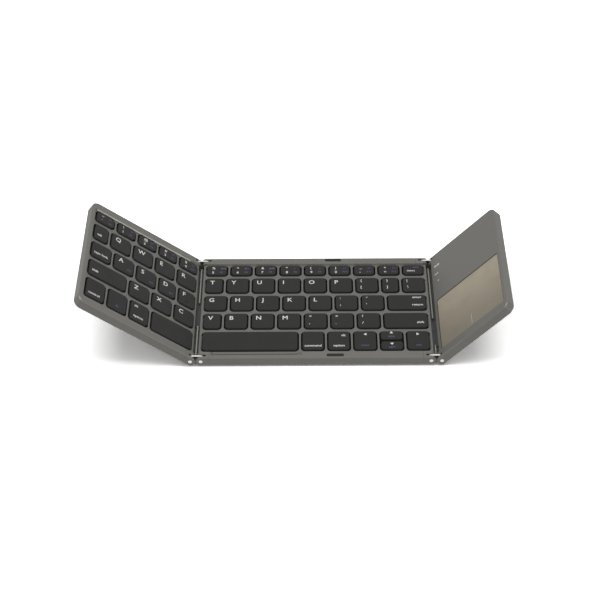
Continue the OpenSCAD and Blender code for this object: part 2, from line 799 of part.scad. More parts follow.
module middle_bumpers() {
    color(rubber_colour) on_middle() at_both_ends()
        translate([bumper_x, half_d - bumper_margin, panel_t - bumper_sink])
            linear_extrude(bumper_sink + bumper_proud) bumper_outline(0);
}

module middle_screws() {
    color(steel_colour) on_middle() screws(middle_screw_xs);
}

module left_screws() {
    color(steel_colour) on_left_wing() mirror([1, 0, 0]) screws(left_screw_xs);
}

module right_screws() {
    color(steel_colour) on_right_wing() screws(right_screw_xs);
}

// ---- the folds: the middle panel's pin at the origin, the wing's pin at x = hinge_pitch ----

spine_z = -link_r;
flex_z = pin_z + spine_z + spine_h;

module link_plates() {
    at_both_ends() translate([0, half_d - outer_knuckle - link_side_clear, 0]) rotate([90, 0, 0])
        difference() {
            union() {
                cylinder(r = link_r, h = link_t);
                translate([hinge_pitch, 0, 0]) cylinder(r = link_r, h = link_t);
                translate([0, -link_r, 0]) cube([hinge_pitch, 2 * link_r, link_t]);
            }
            for (x = [0, hinge_pitch]) translate([x, 0, -over]) cylinder(r = pin_r, h = link_t + 2 * over);
        }
}

module spine(flex_y, flex_w) {
    bar_y = half_d - outer_knuckle - link_side_clear - link_t;
    rib_y = field_rear_y - link_end_clear;
    mid_x = hinge_pitch / 2;
    translate([mid_x - spine_w / 2, -bar_y, spine_z]) cube([spine_w, 2 * bar_y, spine_h]);
    for (span = [[-rib_y, flex_y - flex_w / 2 - seat], [flex_y + flex_w / 2 + seat, rib_y]])
        translate([mid_x - rib_w / 2, span[0], spine_z]) cube([rib_w, span[1] - span[0], spine_h + rib_h]);
}

module hinge_pins() {
    at_both_ends() for (x = [0, hinge_pitch]) translate([x, half_d, 0]) rotate([90, 0, 0]) {
        cylinder(r = pin_r, h = pin_l);
        cylinder(r = pin_head_r, h = pin_head_t);
    }
}

// the cable leaves the middle panel, lies on the spine and turns up into the raised wing
module flex_cable(y, w, middle_x, wing_x, raise) {
    z = spine_z + spine_h;
    drop = pin_z - flex_z;
    bend = [hinge_pitch + wing_x * cos(raise) + drop * sin(raise),
            wing_x * sin(raise) - drop * cos(raise)];
    tip = bend + 1.7 * [cos(raise), sin(raise)];
    lift = flex_t * [-sin(raise), cos(raise)];
    spine_end = hinge_pitch / 2 + spine_w / 2;
    translate([0, y, 0]) along_y(-w / 2, w / 2, [[middle_x, z], [spine_end, z], bend, tip,
        tip + lift, bend + lift, [spine_end, z + flex_t], [middle_x, z + flex_t]]);
}

module left_link_plates() {
    color(bright_colour) on_left_fold() link_plates();
}

module left_spine() {
    color(case_colour) on_left_fold() spine(left_flex_y, left_flex_w);
}

module left_hinge_pins() {
    color(bright_colour) on_left_fold() hinge_pins();
}

module left_flex_cable() {
    color(rubber_colour) on_left_fold()
        flex_cable(left_flex_y, left_flex_w, middle_reach - cover_wall - 0.5, -left_reach, left_raise);
}

module right_link_plates() {
    color(bright_colour) on_right_fold() link_plates();
}

module right_spine() {
    color(case_colour) on_right_fold() spine(right_flex_y, right_flex_w);
}

module right_hinge_pins() {
    color(bright_colour) on_right_fold() hinge_pins();
}

module right_flex_cable() {
    color(rubber_colour) on_right_fold()
        flex_cable(right_flex_y, right_flex_w, middle_reach - cover_wall - 0.5, right_setback, right_raise);
}

// ---- keys ----

module keycap(key) {
    translate([key[1], key[2], 0]) {
        translate([0, 0, cap_z]) difference() {
            bevelled_block(key[3], key[4], cap_h, key_corner_r, key_bevel, 0);
            translate([0, 0, -over]) rounded_prism(key[3] - 2 * cap_wall, key[4] - 2 * cap_wall,
                over + cap_h - cap_top_t, key_corner_r - cap_wall);
        }
        translate([0, 0, plunger_bottom])
            cylinder(r = plunger_r, h = cap_z + cap_h - cap_top_t + clear - plunger_bottom);
    }
}

module middle_key(name) {
    color(key_colour) on_middle() for (key = middle_keys) if (key[0] == name) keycap(key);
}

module left_key(name) {
    color(key_colour) on_left_wing() for (key = left_keys) if (key[0] == name) keycap(key);
}

module middle_other_keys() {
    color(key_colour) on_middle() for (key = middle_keys) if (!is_in(key[0], MIDDLE_SINGLES)) keycap(key);
}

module left_other_keys() {
    color(key_colour) on_left_wing() for (key = left_keys) if (!is_in(key[0], LEFT_SINGLES)) keycap(key);
}

middle_bottom_cover();
middle_top_frame();
middle_key_grille();
middle_switch_sheet();
middle_bumpers();
middle_screws();
middle_feet();
left_bottom_cover();
left_top_frame();
left_key_grille();
left_switch_sheet();
left_screws();
left_feet();
right_bottom_cover();
right_top_plate();
touch_pad();
main_board();
battery();
charging_port();
indicator_lights();
right_screws();
right_feet();
left_link_plates();
left_spine();
left_hinge_pins();
left_flex_cable();
right_link_plates();
right_spine();
right_hinge_pins();
right_flex_cable();
middle_other_keys();
left_other_keys();
for (name = MIDDLE_SINGLES)
    middle_key(name);
for (name = LEFT_SINGLES)
    left_key(name);
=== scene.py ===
"""A folding keyboard in three panels: its looks, built around the CAD frame."""

import json
import math
from collections import namedtuple

import bmesh
import bpy
from bpy.props import FloatProperty, FloatVectorProperty, IntProperty, PointerProperty
from mathutils import Matrix, Vector

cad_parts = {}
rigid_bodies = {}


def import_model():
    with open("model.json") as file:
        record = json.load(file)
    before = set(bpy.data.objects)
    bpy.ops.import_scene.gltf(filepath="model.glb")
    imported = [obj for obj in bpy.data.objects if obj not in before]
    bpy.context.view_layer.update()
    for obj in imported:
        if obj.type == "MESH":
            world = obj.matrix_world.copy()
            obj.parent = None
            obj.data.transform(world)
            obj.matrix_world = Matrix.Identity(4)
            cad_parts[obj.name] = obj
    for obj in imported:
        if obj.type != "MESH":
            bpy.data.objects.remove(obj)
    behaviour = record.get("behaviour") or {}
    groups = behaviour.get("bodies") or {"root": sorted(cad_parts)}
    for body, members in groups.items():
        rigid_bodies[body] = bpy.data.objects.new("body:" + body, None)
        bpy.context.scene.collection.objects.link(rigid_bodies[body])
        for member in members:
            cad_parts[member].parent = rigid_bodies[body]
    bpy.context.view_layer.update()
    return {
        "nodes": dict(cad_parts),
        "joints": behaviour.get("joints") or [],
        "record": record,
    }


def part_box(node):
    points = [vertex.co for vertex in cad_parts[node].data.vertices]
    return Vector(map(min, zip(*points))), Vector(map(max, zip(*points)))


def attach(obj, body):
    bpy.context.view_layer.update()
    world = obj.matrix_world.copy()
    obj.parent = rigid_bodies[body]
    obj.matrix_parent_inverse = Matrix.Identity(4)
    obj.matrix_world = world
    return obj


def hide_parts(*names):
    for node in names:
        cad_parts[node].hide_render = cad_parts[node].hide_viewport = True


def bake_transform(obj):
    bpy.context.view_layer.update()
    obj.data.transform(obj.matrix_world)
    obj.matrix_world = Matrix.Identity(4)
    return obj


bl_info = {
    "name": "Folding keyboard",
    "version": (1, 0, 0),
    "blender": (4, 5, 0),
    "location": "3D View > Sidebar > Keyboard",
    "description": "Dresses the packed folding keyboard with keycaps, legends and finishes, "
                   "and sets up a studio",
    "category": "Object",
}

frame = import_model()
NODES = frame["nodes"]
BODIES = frame["record"]["behaviour"]["bodies"]
JOINTS = {joint["name"]: joint for joint in frame["joints"]}
MM = 0.001
WELD = 0.001 * MM  # points nearer to each other than this are one
PRINT_LIFT = 0.015 * MM  # how far ink and thin bands lie over what carries them
CAPITAL = 0.682  # height of a capital in Blender's own font, at size 1
LIGHT, SECOND = 0, 1  # the two inks
LEFT, CENTRE, RIGHT = -1, 0, 1
HOMING_KEYS = ("key_f", "key_j")
LIGHT_SIGNS = [("■", 0.85, (-1.6, 1.3)), ("▬", 1.0, (-1.5,))]  # sign, size, places in mm
Key = namedtuple("Key", "body panel node x y w d top")  # metres, in the panel's own frame


def add_object(name, data):
    """A new object of the scene that holds the data."""
    thing = bpy.data.objects.new(name, data)
    bpy.context.scene.collection.objects.link(thing)
    return thing


# ---------------------------------------------------------------- where the panels stand


def panel_places():
    """The matrix that carries each panel's own frame, flat on its underside, to its place."""
    inner = [Vector(JOINTS[f"fold_{side}_inner"]["pos_m"]) for side in ("left", "right")]
    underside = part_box("middle_bottom_cover")[0].z
    middle = Matrix.Translation(((inner[0].x + inner[1].x) / 2, 0, underside))
    pin_z = inner[0].z - underside
    places = {"middle": middle}
    for side, turn in (("left", 1), ("right", -1)):
        joint = JOINTS[f"fold_{side}_outer"]
        raise_angle = math.radians(-joint["range_deg"][0])
        places[side] = (
            Matrix.Translation(Vector(joint["pos_m"]))
            @ Matrix.Rotation(turn * raise_angle, 4, "Y")
            @ Matrix.Translation((0, 0, -pin_z))
        )
    return places


def key_bodies():
    """The bodies that carry keycaps, each with its panel."""
    middle = {joint["child"] for joint in JOINTS.values() if joint["parent"] == "middle_panel"}
    return {body: "middle" if body in middle else "left" for body in BODIES
            if body.startswith("key_") or body.endswith("_other_keys")}


def solids_of(node, place):
    """The boxes of a CAD node's separate solids, in a panel's own frame, as (low, high).

    They are sorted, because a mesh's points come in no fixed order."""
    mesh = bmesh.new()
    mesh.from_mesh(NODES[node].data)
    mesh.transform(place.inverted())
    bmesh.ops.remove_doubles(mesh, verts=mesh.verts, dist=WELD)
    left, boxes = set(mesh.verts), []
    while left:
        reached, waiting = set(), [left.pop()]
        while waiting:
            vert = waiting.pop()
            reached.add(vert)
            for edge in vert.link_edges:
                other = edge.other_vert(vert)
                if other in left:
                    left.remove(other)
                    waiting.append(other)
        low = Vector([min(v.co[i] for v in reached) for i in range(3)])
        high = Vector([max(v.co[i] for v in reached) for i in range(3)])
        boxes.append((low, high))
    mesh.free()
    return sorted(boxes, key=lambda ends: tuple(ends[0]))


def key_places(bodies):
    """Every key of the bodies, as a Key."""
    keys = []
    for body, panel in bodies.items():
        for node in BODIES[body]:
            for low, high in solids_of(node, PLACES[panel]):
                keys.append(Key(body, panel, node, (low.x + high.x) / 2, (low.y + high.y) / 2,
                                high.x - low.x, high.y - low.y, high.z))
    return keys


PLACES = panel_places()
KEY_BODIES = key_bodies()
KEYS = key_places(KEY_BODIES)


# ---------------------------------------------------------------- sizes and colours


def tint(name, description, *screen):
    """A colour setting, given as it is read off a screen, 0 to 255, and kept as linear colour."""
    linear = tuple(c / 12.92 if c <= 0.04045 else ((c + 0.055) / 1.055) ** 2.4
                   for c in (value / 255 for value in screen))
    return FloatVectorProperty(name=name, description=description, subtype="COLOR", size=3,
                               min=0, max=1, default=linear)


def length(name, description, millimetres):
    """A length setting, given in millimetres."""
    return FloatProperty(name=name, description=description, subtype="DISTANCE", min=0,
                         default=millimetres * MM)


def share(name, description, default, most=1):
    """A setting from 0 to the most it can be."""
    return FloatProperty(name=name, description=description, subtype="FACTOR", min=0, max=most,
                         default=default)


def amount(name, description, default):
    """A plain setting that isn't negative."""
    return FloatProperty(name=name, description=description, min=0, default=default)


def angle(name, description, degrees):
    """An angle setting, given in degrees."""
    return FloatProperty(name=name, description=description, subtype="ANGLE",
                         default=math.radians(degrees))


class CaseLooks(bpy.types.PropertyGroup):
    """Finish of the covers, frames, grilles and small parts."""

    colour: tint("Case colour", "Anodised metal of covers and frames", 109, 108, 103)
    grille_colour: tint("Grille colour", "Metal between the keys", 105, 104, 100)
    # colour of the painted highlight along the bevelled edges
    edge_highlight_colour: tint("Edge highlight colour", "Lighter tone along the bevelled edges", 124, 123, 117)
    roughness: share("Case roughness", "Satin of the anodised metal", 0.46)
    grain: length("Grain size", "Size of the blasted grain of the metal", 0.22)
    rubber_colour: tint("Rubber colour", "Bumpers, feet and switch sheets", 38, 38, 38)
    # colour of the band painted as a highlight on the left wing's rear edge
    rear_highlight_colour: tint("Rear highlight colour", "Painted chamfer highlight on the left wing", 160, 159, 152)
    relief_from_key: length("Relief depth",
                            "From the space bar to the foot of the thumb relief", 3.1)
    relief_inset: length("Relief inset", "From the space bar's left edge to the thumb relief", 7)
    # width of the dark strip painted as the relief's shadow
    relief_shadow_width: length("Relief shadow", "Width of the dark line at the foot of the relief", 0.8)


class KeyLooks(bpy.types.PropertyGroup):
    """Shape and finish of the keycaps and what is printed on them."""

    cap_height: length("Cap height", "Height of a keycap, with its skirt", 2.5)
    wall: length("Wall", "Thickness of the keycap's skirt", 0.9)
    roof: length("Roof", "Thickness of the keycap's top", 1)
    trim: length("Trim", "Taken off the width and depth, so that keycaps slide freely", 0.04)
    corner: length("Corner radius", "Radius of a keycap's corners, seen from above", 2.6)
    edge_round: length("Edge rounding", "Radius round the top of a keycap", 0.55)
    draft: length("Draft", "How far a keycap's sides lean in towards the top", 0.1)
    steps: IntProperty(
        name="Steps", description="Steps round each rounded edge and corner", min=2, default=6)
    colour: tint("Cap colour", "Moulded plastic of the keycaps", 32, 32, 31)
    ink_colour: tint("Ink colour", "Main printing on the keycaps", 228, 228, 224)
    second_ink_colour: tint("Second ink colour",
                            "Printing of the keys' second functions", 84, 80, 118)
    letter_height: length("Letter height", "Height of the letters on the letter keys", 3.4)
    word_height: length("Word height", "Height of a capital in the small words", 1.9)
    sign_height: length("Sign height", "Height of a capital among digits and signs", 2.1)
    stroke: share("Stroke",
                  "How much the strokes are thickened, as a share of the size", 0.014, 0.05)


class PadLooks(bpy.types.PropertyGroup):
    """Finish of the touch pad and the marks beside it."""

    colour: tint("Pad colour", "Satin surface of the touch pad", 161, 151, 132)
    # colour of the painted shade at the pad's front edge
    front_shade_colour: tint("Pad front shade",
                       "Deeper tone of the pad towards its front edge", 113, 105, 91)
    line_from_front: length("Line start", "From the front edge of the pad to the button line", 1.8)
    line_length: length("Line length", "Length of the line that parts the two buttons", 8.7)
    line_width: length("Line width", "Width of the line that parts the two buttons", 0.3)
    line_colour: tint("Line colour", "Pale line that parts the two buttons", 190, 181, 164)
    mark_colour: tint("Mark colour", "Small signs beside the indicator lights", 222, 208, 202)
    mark_height: length("Mark height", "Height of the signs beside the indicator lights", 1.7)


class HingeLooks(bpy.types.PropertyGroup):
    """Finish of the links, pins, spines and flex cables."""

    steel_colour: tint("Steel colour",
                       "Bright link plates, pins, screws and the port", 232, 232, 228)
    spine_colour: tint("Spine colour", "Metal bar under each fold", 136, 136, 130)
    cable_colour: tint("Cable colour", "Film of the flex cables", 24, 24, 25)
    # colour of the dark liner that stands in as painted shade in each fold's gap
    fold_shade_colour: tint("Fold shade colour", "Thin liner under each spine", 86, 86, 83)
    liner_from_panel: length("Liner from panel",
                             "From the middle panel's pins to the fold liner", 1.85)
    liner_from_wing: length("Liner from wing", "From the wing's pins to the fold liner", 0.6)
    liner_thickness: length("Liner thickness", "Thickness of the liner under the spine", 0.4)


class StudioLooks(bpy.types.PropertyGroup):
    """Floor, lamps and camera."""

    floor_colour: FloatVectorProperty(
        name="Floor colour", description="Plain pale floor",
        subtype="COLOR", size=3, min=0, max=1, default=(0.93, 0.93, 0.93))
    floor_size: length("Floor size", "Side of the floor", 6000)
    floor_lift: amount("Floor lift", "Extra brightness of the floor to the camera alone", 0.95)
    floor_shine: amount("Floor shine", "Extra brightness of the floor in reflections", 0.1)
    sky_strength: amount("Sky strength", "Even light from all sides", 0.34)
    lamp_power: amount("Lamp power", "Power of each of the two large lamps overhead", 7.4)
    lamp_spread: length("Lamp spread", "How far each overhead lamp stands from the middle", 450)
    side_power: amount("Side power", "Power of each of the two low side lamps", 1.0)
    front_power: amount("Front power", "Power of the small low lamp in front", 0.6)
    focal: FloatProperty(
        name="Focal length", description="Focal length of the camera, in millimetres",
        min=1, default=94.14)
    eye: FloatVectorProperty(
        name="Camera place", description="Where the camera stands, from the middle panel's centre",
        subtype="TRANSLATION", size=3, default=(-0.00664, -0.76862, 0.69747))
    pitch: angle("Pitch", "How far the camera looks down", 41.731)
    yaw: angle("Yaw", "How far the camera is turned to the left", 0.258)
    roll: angle("Roll", "How far the camera is tipped about its line of sight", -0.446)


# ---------------------------------------------------------------- finishes


class Wiring:
    """Puts nodes into a tree and joins them."""

    def __init__(self, tree):
        self.tree = tree

    def add(self, kind, inputs=None, **settings):
        node = self.tree.nodes.new(kind)
        for name, value in settings.items():
            setattr(node, name, value)
        for name, value in (inputs or {}).items():
            if isinstance(value, bpy.types.NodeSocket):
                self.join(value, node.inputs[name])
            else:
                node.inputs[name].default_value = value
        return node

    def join(self, value, socket):
        self.tree.links.new(value, socket)

    def maths(self, operation, first, second=0.0, clamp=False):
        return self.add("ShaderNodeMath", {0: first, 1: second},
                        operation=operation, use_clamp=clamp).outputs[0]

    def times(self, first, second, clamp=False):
        return self.maths("MULTIPLY", first, second, clamp)

    def less(self, first, second):
        return self.maths("SUBTRACT", first, second)

    def vectors(self, operation, inputs, output=0):
        return self.add("ShaderNodeVectorMath", inputs, operation=operation).outputs[output]

    def split(self, vector):
        return self.add("ShaderNodeSeparateXYZ", {0: vector}).outputs

    def merge(self, **parts):
        return self.add("ShaderNodeCombineXYZ", parts).outputs[0]

    def mix(self, factor, first, second):
        node = self.add("ShaderNodeMix", {0: factor, 6: first, 7: second}, data_type="RGBA")
        return node.outputs[2]

    def span(self, value, low, high, to_low=0.0, to_high=1.0, **settings):
        return self.add("ShaderNodeMapRange", {
            "Value": value, "From Min": low, "From Max": high,
            "To Min": to_low, "To Max": to_high}, **settings).outputs["Result"]

    def noise(self, vector, scale, detail, **more):
        return self.add("ShaderNodeTexNoise", {
            "Vector": vector, "Scale": scale, "Detail": detail, **more}).outputs["Fac"]


def shader_group(name, outputs, **numbers):
    """A node group on a vector, with named numbers: (wiring, its inputs, its output sockets)."""
    group = bpy.data.node_groups.new(name, "ShaderNodeTree")
    new = group.interface.new_socket
    new(name="Vector", in_out="INPUT", socket_type="NodeSocketVector")
    for label, value in numbers.items():
        socket = new(name=label.replace("_", " "), in_out="INPUT", socket_type="NodeSocketFloat")
        socket.default_value = value
    for label in outputs:
        new(name=label, in_out="OUTPUT", socket_type="NodeSocketFloat")
    wires = Wiring(group)
    given = wires.add("NodeGroupInput").outputs
    return wires, given, wires.add("NodeGroupOutput").inputs


def grain_group():
    """Blasted or moulded grain: a height for a bump and a fine tone."""
    wires, given, out = shader_group("Grain", ("Height", "Tone"), Size=0.0002, Roughness=0.6)
    scale = wires.maths("DIVIDE", 1.0, given["Size"])
    fine = wires.noise(given["Vector"], scale, 3.0, Roughness=given["Roughness"])
    broad = wires.noise(given["Vector"], wires.times(scale, 0.22), 2.0)
    wires.join(fine, out["Height"])
    wires.join(wires.maths("ADD", wires.times(fine, 0.5), wires.times(broad, 0.5)), out["Tone"])


def smudge_group():
    """Slow, uneven patches, such as handling marks: a mask from 0 to 1."""
    wires, given, out = shader_group("Smudges", ("Mask",), Size=0.02, Low=0.42, High=0.68)
    noise = wires.noise(given["Vector"], wires.maths("DIVIDE", 1.0, given["Size"]), 4.0,
                        Roughness=0.55, Distortion=0.6)
    wires.join(wires.span(noise, given["Low"], given["High"]), out["Mask"])


def edge_highlight_group():
    """Painted highlight along edges: a mask that is 1 where the surface turns within the radius."""
    wires, given, out = shader_group("Edge highlight", ("Mask",), Radius=0.0003, Break_up=0.5)
    rounded = wires.add("ShaderNodeBevel", {"Radius": given["Radius"]}, samples=6)
    here = wires.add("ShaderNodeNewGeometry")
    alike = wires.vectors("DOT_PRODUCT", {
        0: rounded.outputs["Normal"], 1: here.outputs["Normal"]}, "Value")
    turned = wires.span(alike, 0.995, 0.86)
    kept = wires.span(wires.noise(given["Vector"], 700.0, 3.0), 0.35, 0.62)
    loss = wires.times(wires.less(1.0, kept), given["Break up"])
    wires.join(wires.times(turned, wires.less(1.0, loss), clamp=True), out["Mask"])


def crevice_shade_group():
    """Painted shade in narrow corners: a mask that is 1 where little of the sky is seen close by.
    """
    wires, given, out = shader_group("Crevice shade", ("Mask",), Reach=0.001, Break_up=0.2)
    near = wires.add("ShaderNodeAmbientOcclusion", {"Distance": given["Reach"]},
                     samples=6, only_local=True)
    hidden = wires.span(near.outputs["AO"], 0.97, 0.55)
    gone = wires.span(wires.noise(given["Vector"], 500.0, 2.0), 0.4, 0.65)
    loss = wires.times(gone, given["Break up"])
    wires.join(wires.times(hidden, wires.less(1.0, loss), clamp=True), out["Mask"])


def brush_group():
    """Fine drawn lines along Y: a height."""
    wires, given, out = shader_group("Brushed lines", ("Height",), Pitch=0.00012)
    stretched = wires.vectors("MULTIPLY", {0: given["Vector"], 1: (1.0, 0.04, 1.0)})
    scale = wires.maths("DIVIDE", 1.0, given["Pitch"])
    wires.join(wires.noise(stretched, scale, 2.0), out["Height"])


def shade(colour, by=1.0):
    """The colour made lighter or darker, with full alpha."""
    return tuple(min(1.0, c * by) for c in colour) + (1.0,)


def bare_tree(owner):
    """The wiring of a material's or a world's own tree, emptied."""
    owner.use_nodes = True
    owner.node_tree.nodes.clear()
    return Wiring(owner.node_tree)


class Finish(Wiring):
    """A material under way: one Principled shader, Object coordinates and the shared groups."""

    def __init__(self, name, roughness, metallic=0.0, **constants):
        self.material = bpy.data.materials.new(name)
        super().__init__(bare_tree(self.material).tree)
        self.shader = self.add("ShaderNodeBsdfPrincipled", {
            "Roughness": roughness, "Metallic": metallic, **constants})
        self.add("ShaderNodeOutputMaterial", {"Surface": self.shader.outputs["BSDF"]})
        self.places = self.add("ShaderNodeTexCoord").outputs
        self.vector = self.places["Object"]

    def shared(self, group, **values):
        """The outputs of a shared group, or its only output by itself."""
        node = self.add("ShaderNodeGroup", node_tree=bpy.data.node_groups[group])
        self.join(self.vector, node.inputs["Vector"])
        for name, value in values.items():
            node.inputs[name.replace("_", " ")].default_value = value
        return node.outputs if len(node.outputs) > 1 else node.outputs[0]

    def tones(self, value, colour, dark, light, low=0.3, high=0.7):
        """The colour between a darker and a lighter tone."""
        return self.mix(self.span(value, low, high), shade(colour, dark), shade(colour, light))

    def over(self, body, mask, cover, colour):
        """The body, covered by that much of another colour where the mask is 1."""
        return self.mix(self.times(mask, cover), body, colour)

    def uneven(self, value, low, high, smudges=None, polish=0.0):
        """A roughness from low to high with the value, less where smudges polish the surface."""
        rough = self.span(value, 0.2, 0.8, low, high)
        return rough if smudges is None else self.less(rough, self.times(smudges, polish))

    def done(self, colour, roughness, height=None, distance=0.0, strength=0.5):
        """The material, with its colour, its roughness and the height of its relief joined up."""
        self.join(colour, self.shader.inputs["Base Color"])
        self.join(roughness, self.shader.inputs["Roughness"])
        if height is not None:
            bump = self.add("ShaderNodeBump", {
                "Height": height, "Distance": distance, "Strength": strength})
            self.join(bump.outputs["Normal"], self.shader.inputs["Normal"])
        return self.material


def anodised(name, colour, looks, highlight=0.55):
    """Blasted and anodised metal with handling marks, a painted highlight along its edges and
    painted shade in its narrow corners.
    """
    finish = Finish(name, looks.roughness, 0.55)
    grain = finish.shared("Grain", Size=looks.grain)
    smudges = finish.shared("Smudges", Size=0.03)
    edges = finish.shared("Edge highlight", Radius=0.00035, Break_up=0.55)
    crevice_shade = finish.shared("Crevice shade", Reach=0.0012)
    body = finish.tones(grain["Tone"], colour, 0.93, 1.07)
    body = finish.over(body, smudges, 0.35, shade(colour, 0.88))
    # painted highlight: the edges are made lighter
    body = finish.over(body, edges, highlight, shade(looks.edge_highlight_colour))
    # painted shade: narrow corners are made darker
    body = finish.over(body, crevice_shade, 0.75, shade(colour, 0.3))
    rough = finish.uneven(grain["Tone"], looks.roughness - 0.06, looks.roughness + 0.06,
                          smudges, 0.07)
    return finish.done(body, rough, grain["Height"], 0.00001)


def moulded(name, colour, roughness, grain=0.00016, relief=0.000012, edge_highlight_tone=1.2):
    """Moulded plastic or rubber with a fine texture and a painted highlight along its edges."""
    finish = Finish(name, roughness, **{"Specular IOR Level": 0.22})
    texture = finish.shared("Grain", Size=grain)
    smudges = finish.shared("Smudges", Size=0.012, Low=0.45, High=0.75)
    edges = finish.shared("Edge highlight", Radius=0.0003, Break_up=0.35)
    body = finish.tones(texture["Tone"], colour, 0.9, 1.1)
    body = finish.over(body, smudges, 0.3, shade(colour, 1.14))
    # painted highlight: the edges are made lighter
    body = finish.over(body, edges, 0.6, shade(colour, edge_highlight_tone))
    rough = finish.uneven(texture["Tone"], roughness - 0.05, roughness + 0.07, smudges, 0.1)
    return finish.done(body, rough, texture["Height"], relief, 0.6)


def drawn_metal(name, colour, roughness, shaded_flanks=False):
    """Bright drawn metal with fine lines, whose flanks can be painted dark as shade."""
    finish = Finish(name, roughness, 1.0)
    lines = finish.shared("Brushed lines", Pitch=0.00014)
    smudges = finish.shared("Smudges", Size=0.006)
    body = finish.tones(lines, colour, 0.9, 1.0, 0.35, 0.65)
    body = finish.over(body, smudges, 0.16, shade(colour, 0.8))
    if shaded_flanks:
        # painted shade: faces that turn away from up are made nearly black
        flank_shade = finish.span(finish.split(finish.places["Normal"])["Z"], 0.55, 0.75)
        body = finish.mix(flank_shade, shade(colour, 0.08), body)
    rough = finish.span(lines, 0.3, 0.7, roughness - 0.05, roughness + 0.08)
    return finish.done(body, rough, lines, 0.000006)


def printed(name, colour):
    """Pad-printed ink: even, a little uneven in cover."""
    finish = Finish(name, 0.5)
    cover = finish.shared("Grain", Size=0.0003)["Tone"]
    return finish.done(finish.tones(cover, colour, 0.9, 1.04), finish.uneven(cover, 0.45, 0.6))


def flex_film(name, colour):
    """Glossy film of a flex cable, with faint conductors across the fold."""
    finish = Finish(name, 0.32)
    pitch = 0.0011
    along = finish.split(finish.vector)["Y"]
    wave = finish.maths("SINE", finish.times(along, 2 * math.pi / pitch))
    tracks = finish.span(wave, 0.2, 0.6)
    smudges = finish.shared("Smudges", Size=0.004)
    return finish.done(finish.mix(tracks, shade(colour, 0.8), shade(colour, 1.8)),
                       finish.span(smudges, 0.0, 1.0, 0.28, 0.42), tracks, 0.00003, 0.6)


def circuit_board(name):
    """Solder mask with copper tracks under it."""
    finish = Finish(name, 0.38)
    cells = finish.add("ShaderNodeTexBrick", {
        "Vector": finish.vector, "Scale": 140.0, "Mortar Size": 0.05, "Mortar Smooth": 0.2,
        "Color1": shade((0.012, 0.085, 0.035)), "Color2": shade((0.016, 0.105, 0.045)),
        "Mortar": shade((0.09, 0.17, 0.05))}).outputs
    tone = finish.shared("Grain", Size=0.0005)["Tone"]
    body = finish.mix(
        finish.span(tone, 0.35, 0.65), cells["Color"], shade((0.014, 0.095, 0.04)))
    return finish.done(body, finish.uneven(tone, 0.32, 0.46), cells["Fac"], 0.00004)


def cell_foil(name):
    """Creased foil pouch of the battery, with painted shade along its creases."""
    finish = Finish(name, 0.35, 0.9)
    creases = finish.add("ShaderNodeTexVoronoi", {
        "Vector": finish.vector, "Scale": 260.0}, feature="DISTANCE_TO_EDGE")
    crease = finish.span(creases.outputs["Distance"], 0.0, 0.3)
    # painted shade: the foil is made darker along its creases
    return finish.done(
        finish.mix(crease, shade((0.4, 0.41, 0.43), 0.8), shade((0.5, 0.51, 0.53))),
        finish.span(crease, 0.0, 1.0, 0.45, 0.3), crease, 0.00005)


def light_pipe(name, colour):
    """Milky light pipe, with a cloudy, uneven tone."""
    finish = Finish(name, 0.3)
    cloud = finish.shared("Smudges", Size=0.0008)
    return finish.done(finish.mix(cloud, shade(colour, 0.85), shade(colour, 1.1)),
                       finish.span(cloud, 0.0, 1.0, 0.22, 0.36))


def pad_surface(name, looks, front, rear, up):
    """Satin pad with painted shade that deepens towards its front edge, and dark on its flanks."""
    finish = Finish(name, 0.36, 0.35)
    grain = finish.shared("Grain", Size=0.00018)
    smudges = finish.shared("Smudges", Size=0.022)
    # painted shade: the pad grows darker towards its front edge
    depth = finish.span(finish.split(finish.vector)["Y"], front, rear,
                        interpolation_type="SMOOTHSTEP")
    body = finish.mix(depth, shade(looks.front_shade_colour), shade(looks.colour))
    fine = finish.span(grain["Tone"], 0.3, 0.7)
    body = finish.over(body, fine, 0.5, shade(looks.colour, 1.04))
    body = finish.over(body, smudges, 0.25, shade(looks.front_shade_colour, 0.94))
    facing = finish.vectors("DOT_PRODUCT", {0: finish.places["Normal"], 1: up}, "Value")
    body = finish.mix(finish.span(facing, 0.98, 0.8), body, shade(looks.front_shade_colour, 0.2))
    rough = finish.uneven(grain["Tone"], 0.32, 0.42, smudges, 0.05)
    return finish.done(body, rough, grain["Height"], 0.000006, 0.4)


def wear_finish(node, material):
    """Gives a CAD node one material."""
    data = NODES[node].data
    data.materials.clear()
    data.materials.append(material)


# ---------------------------------------------------------------- thin bands, films and liners


def sheet(name, points, faces, place, materials, inks=()):
    """A flat piece that faces up, from points of a panel's own frame."""
    mesh = bpy.data.meshes.new(name)
    mesh.from_pydata([place @ Vector(point) for point in points], [], faces)
    for material in materials:
        mesh.materials.append(material)
    if inks:
        mesh.polygons.foreach_set("material_index", inks)
    if sum((p.normal * p.area for p in mesh.polygons), Vector()).z < 0:
        mesh.flip_normals()
    return add_object(name, mesh)


def ribbon(name, near, far, place, material):
    """A thin band between two rows of points of a panel's own frame."""
    count = len(near)
    faces = [(i, i + 1, count + i + 1, count + i) for i in range(count - 1)]
    return sheet(name, near + far, faces, place, [material])


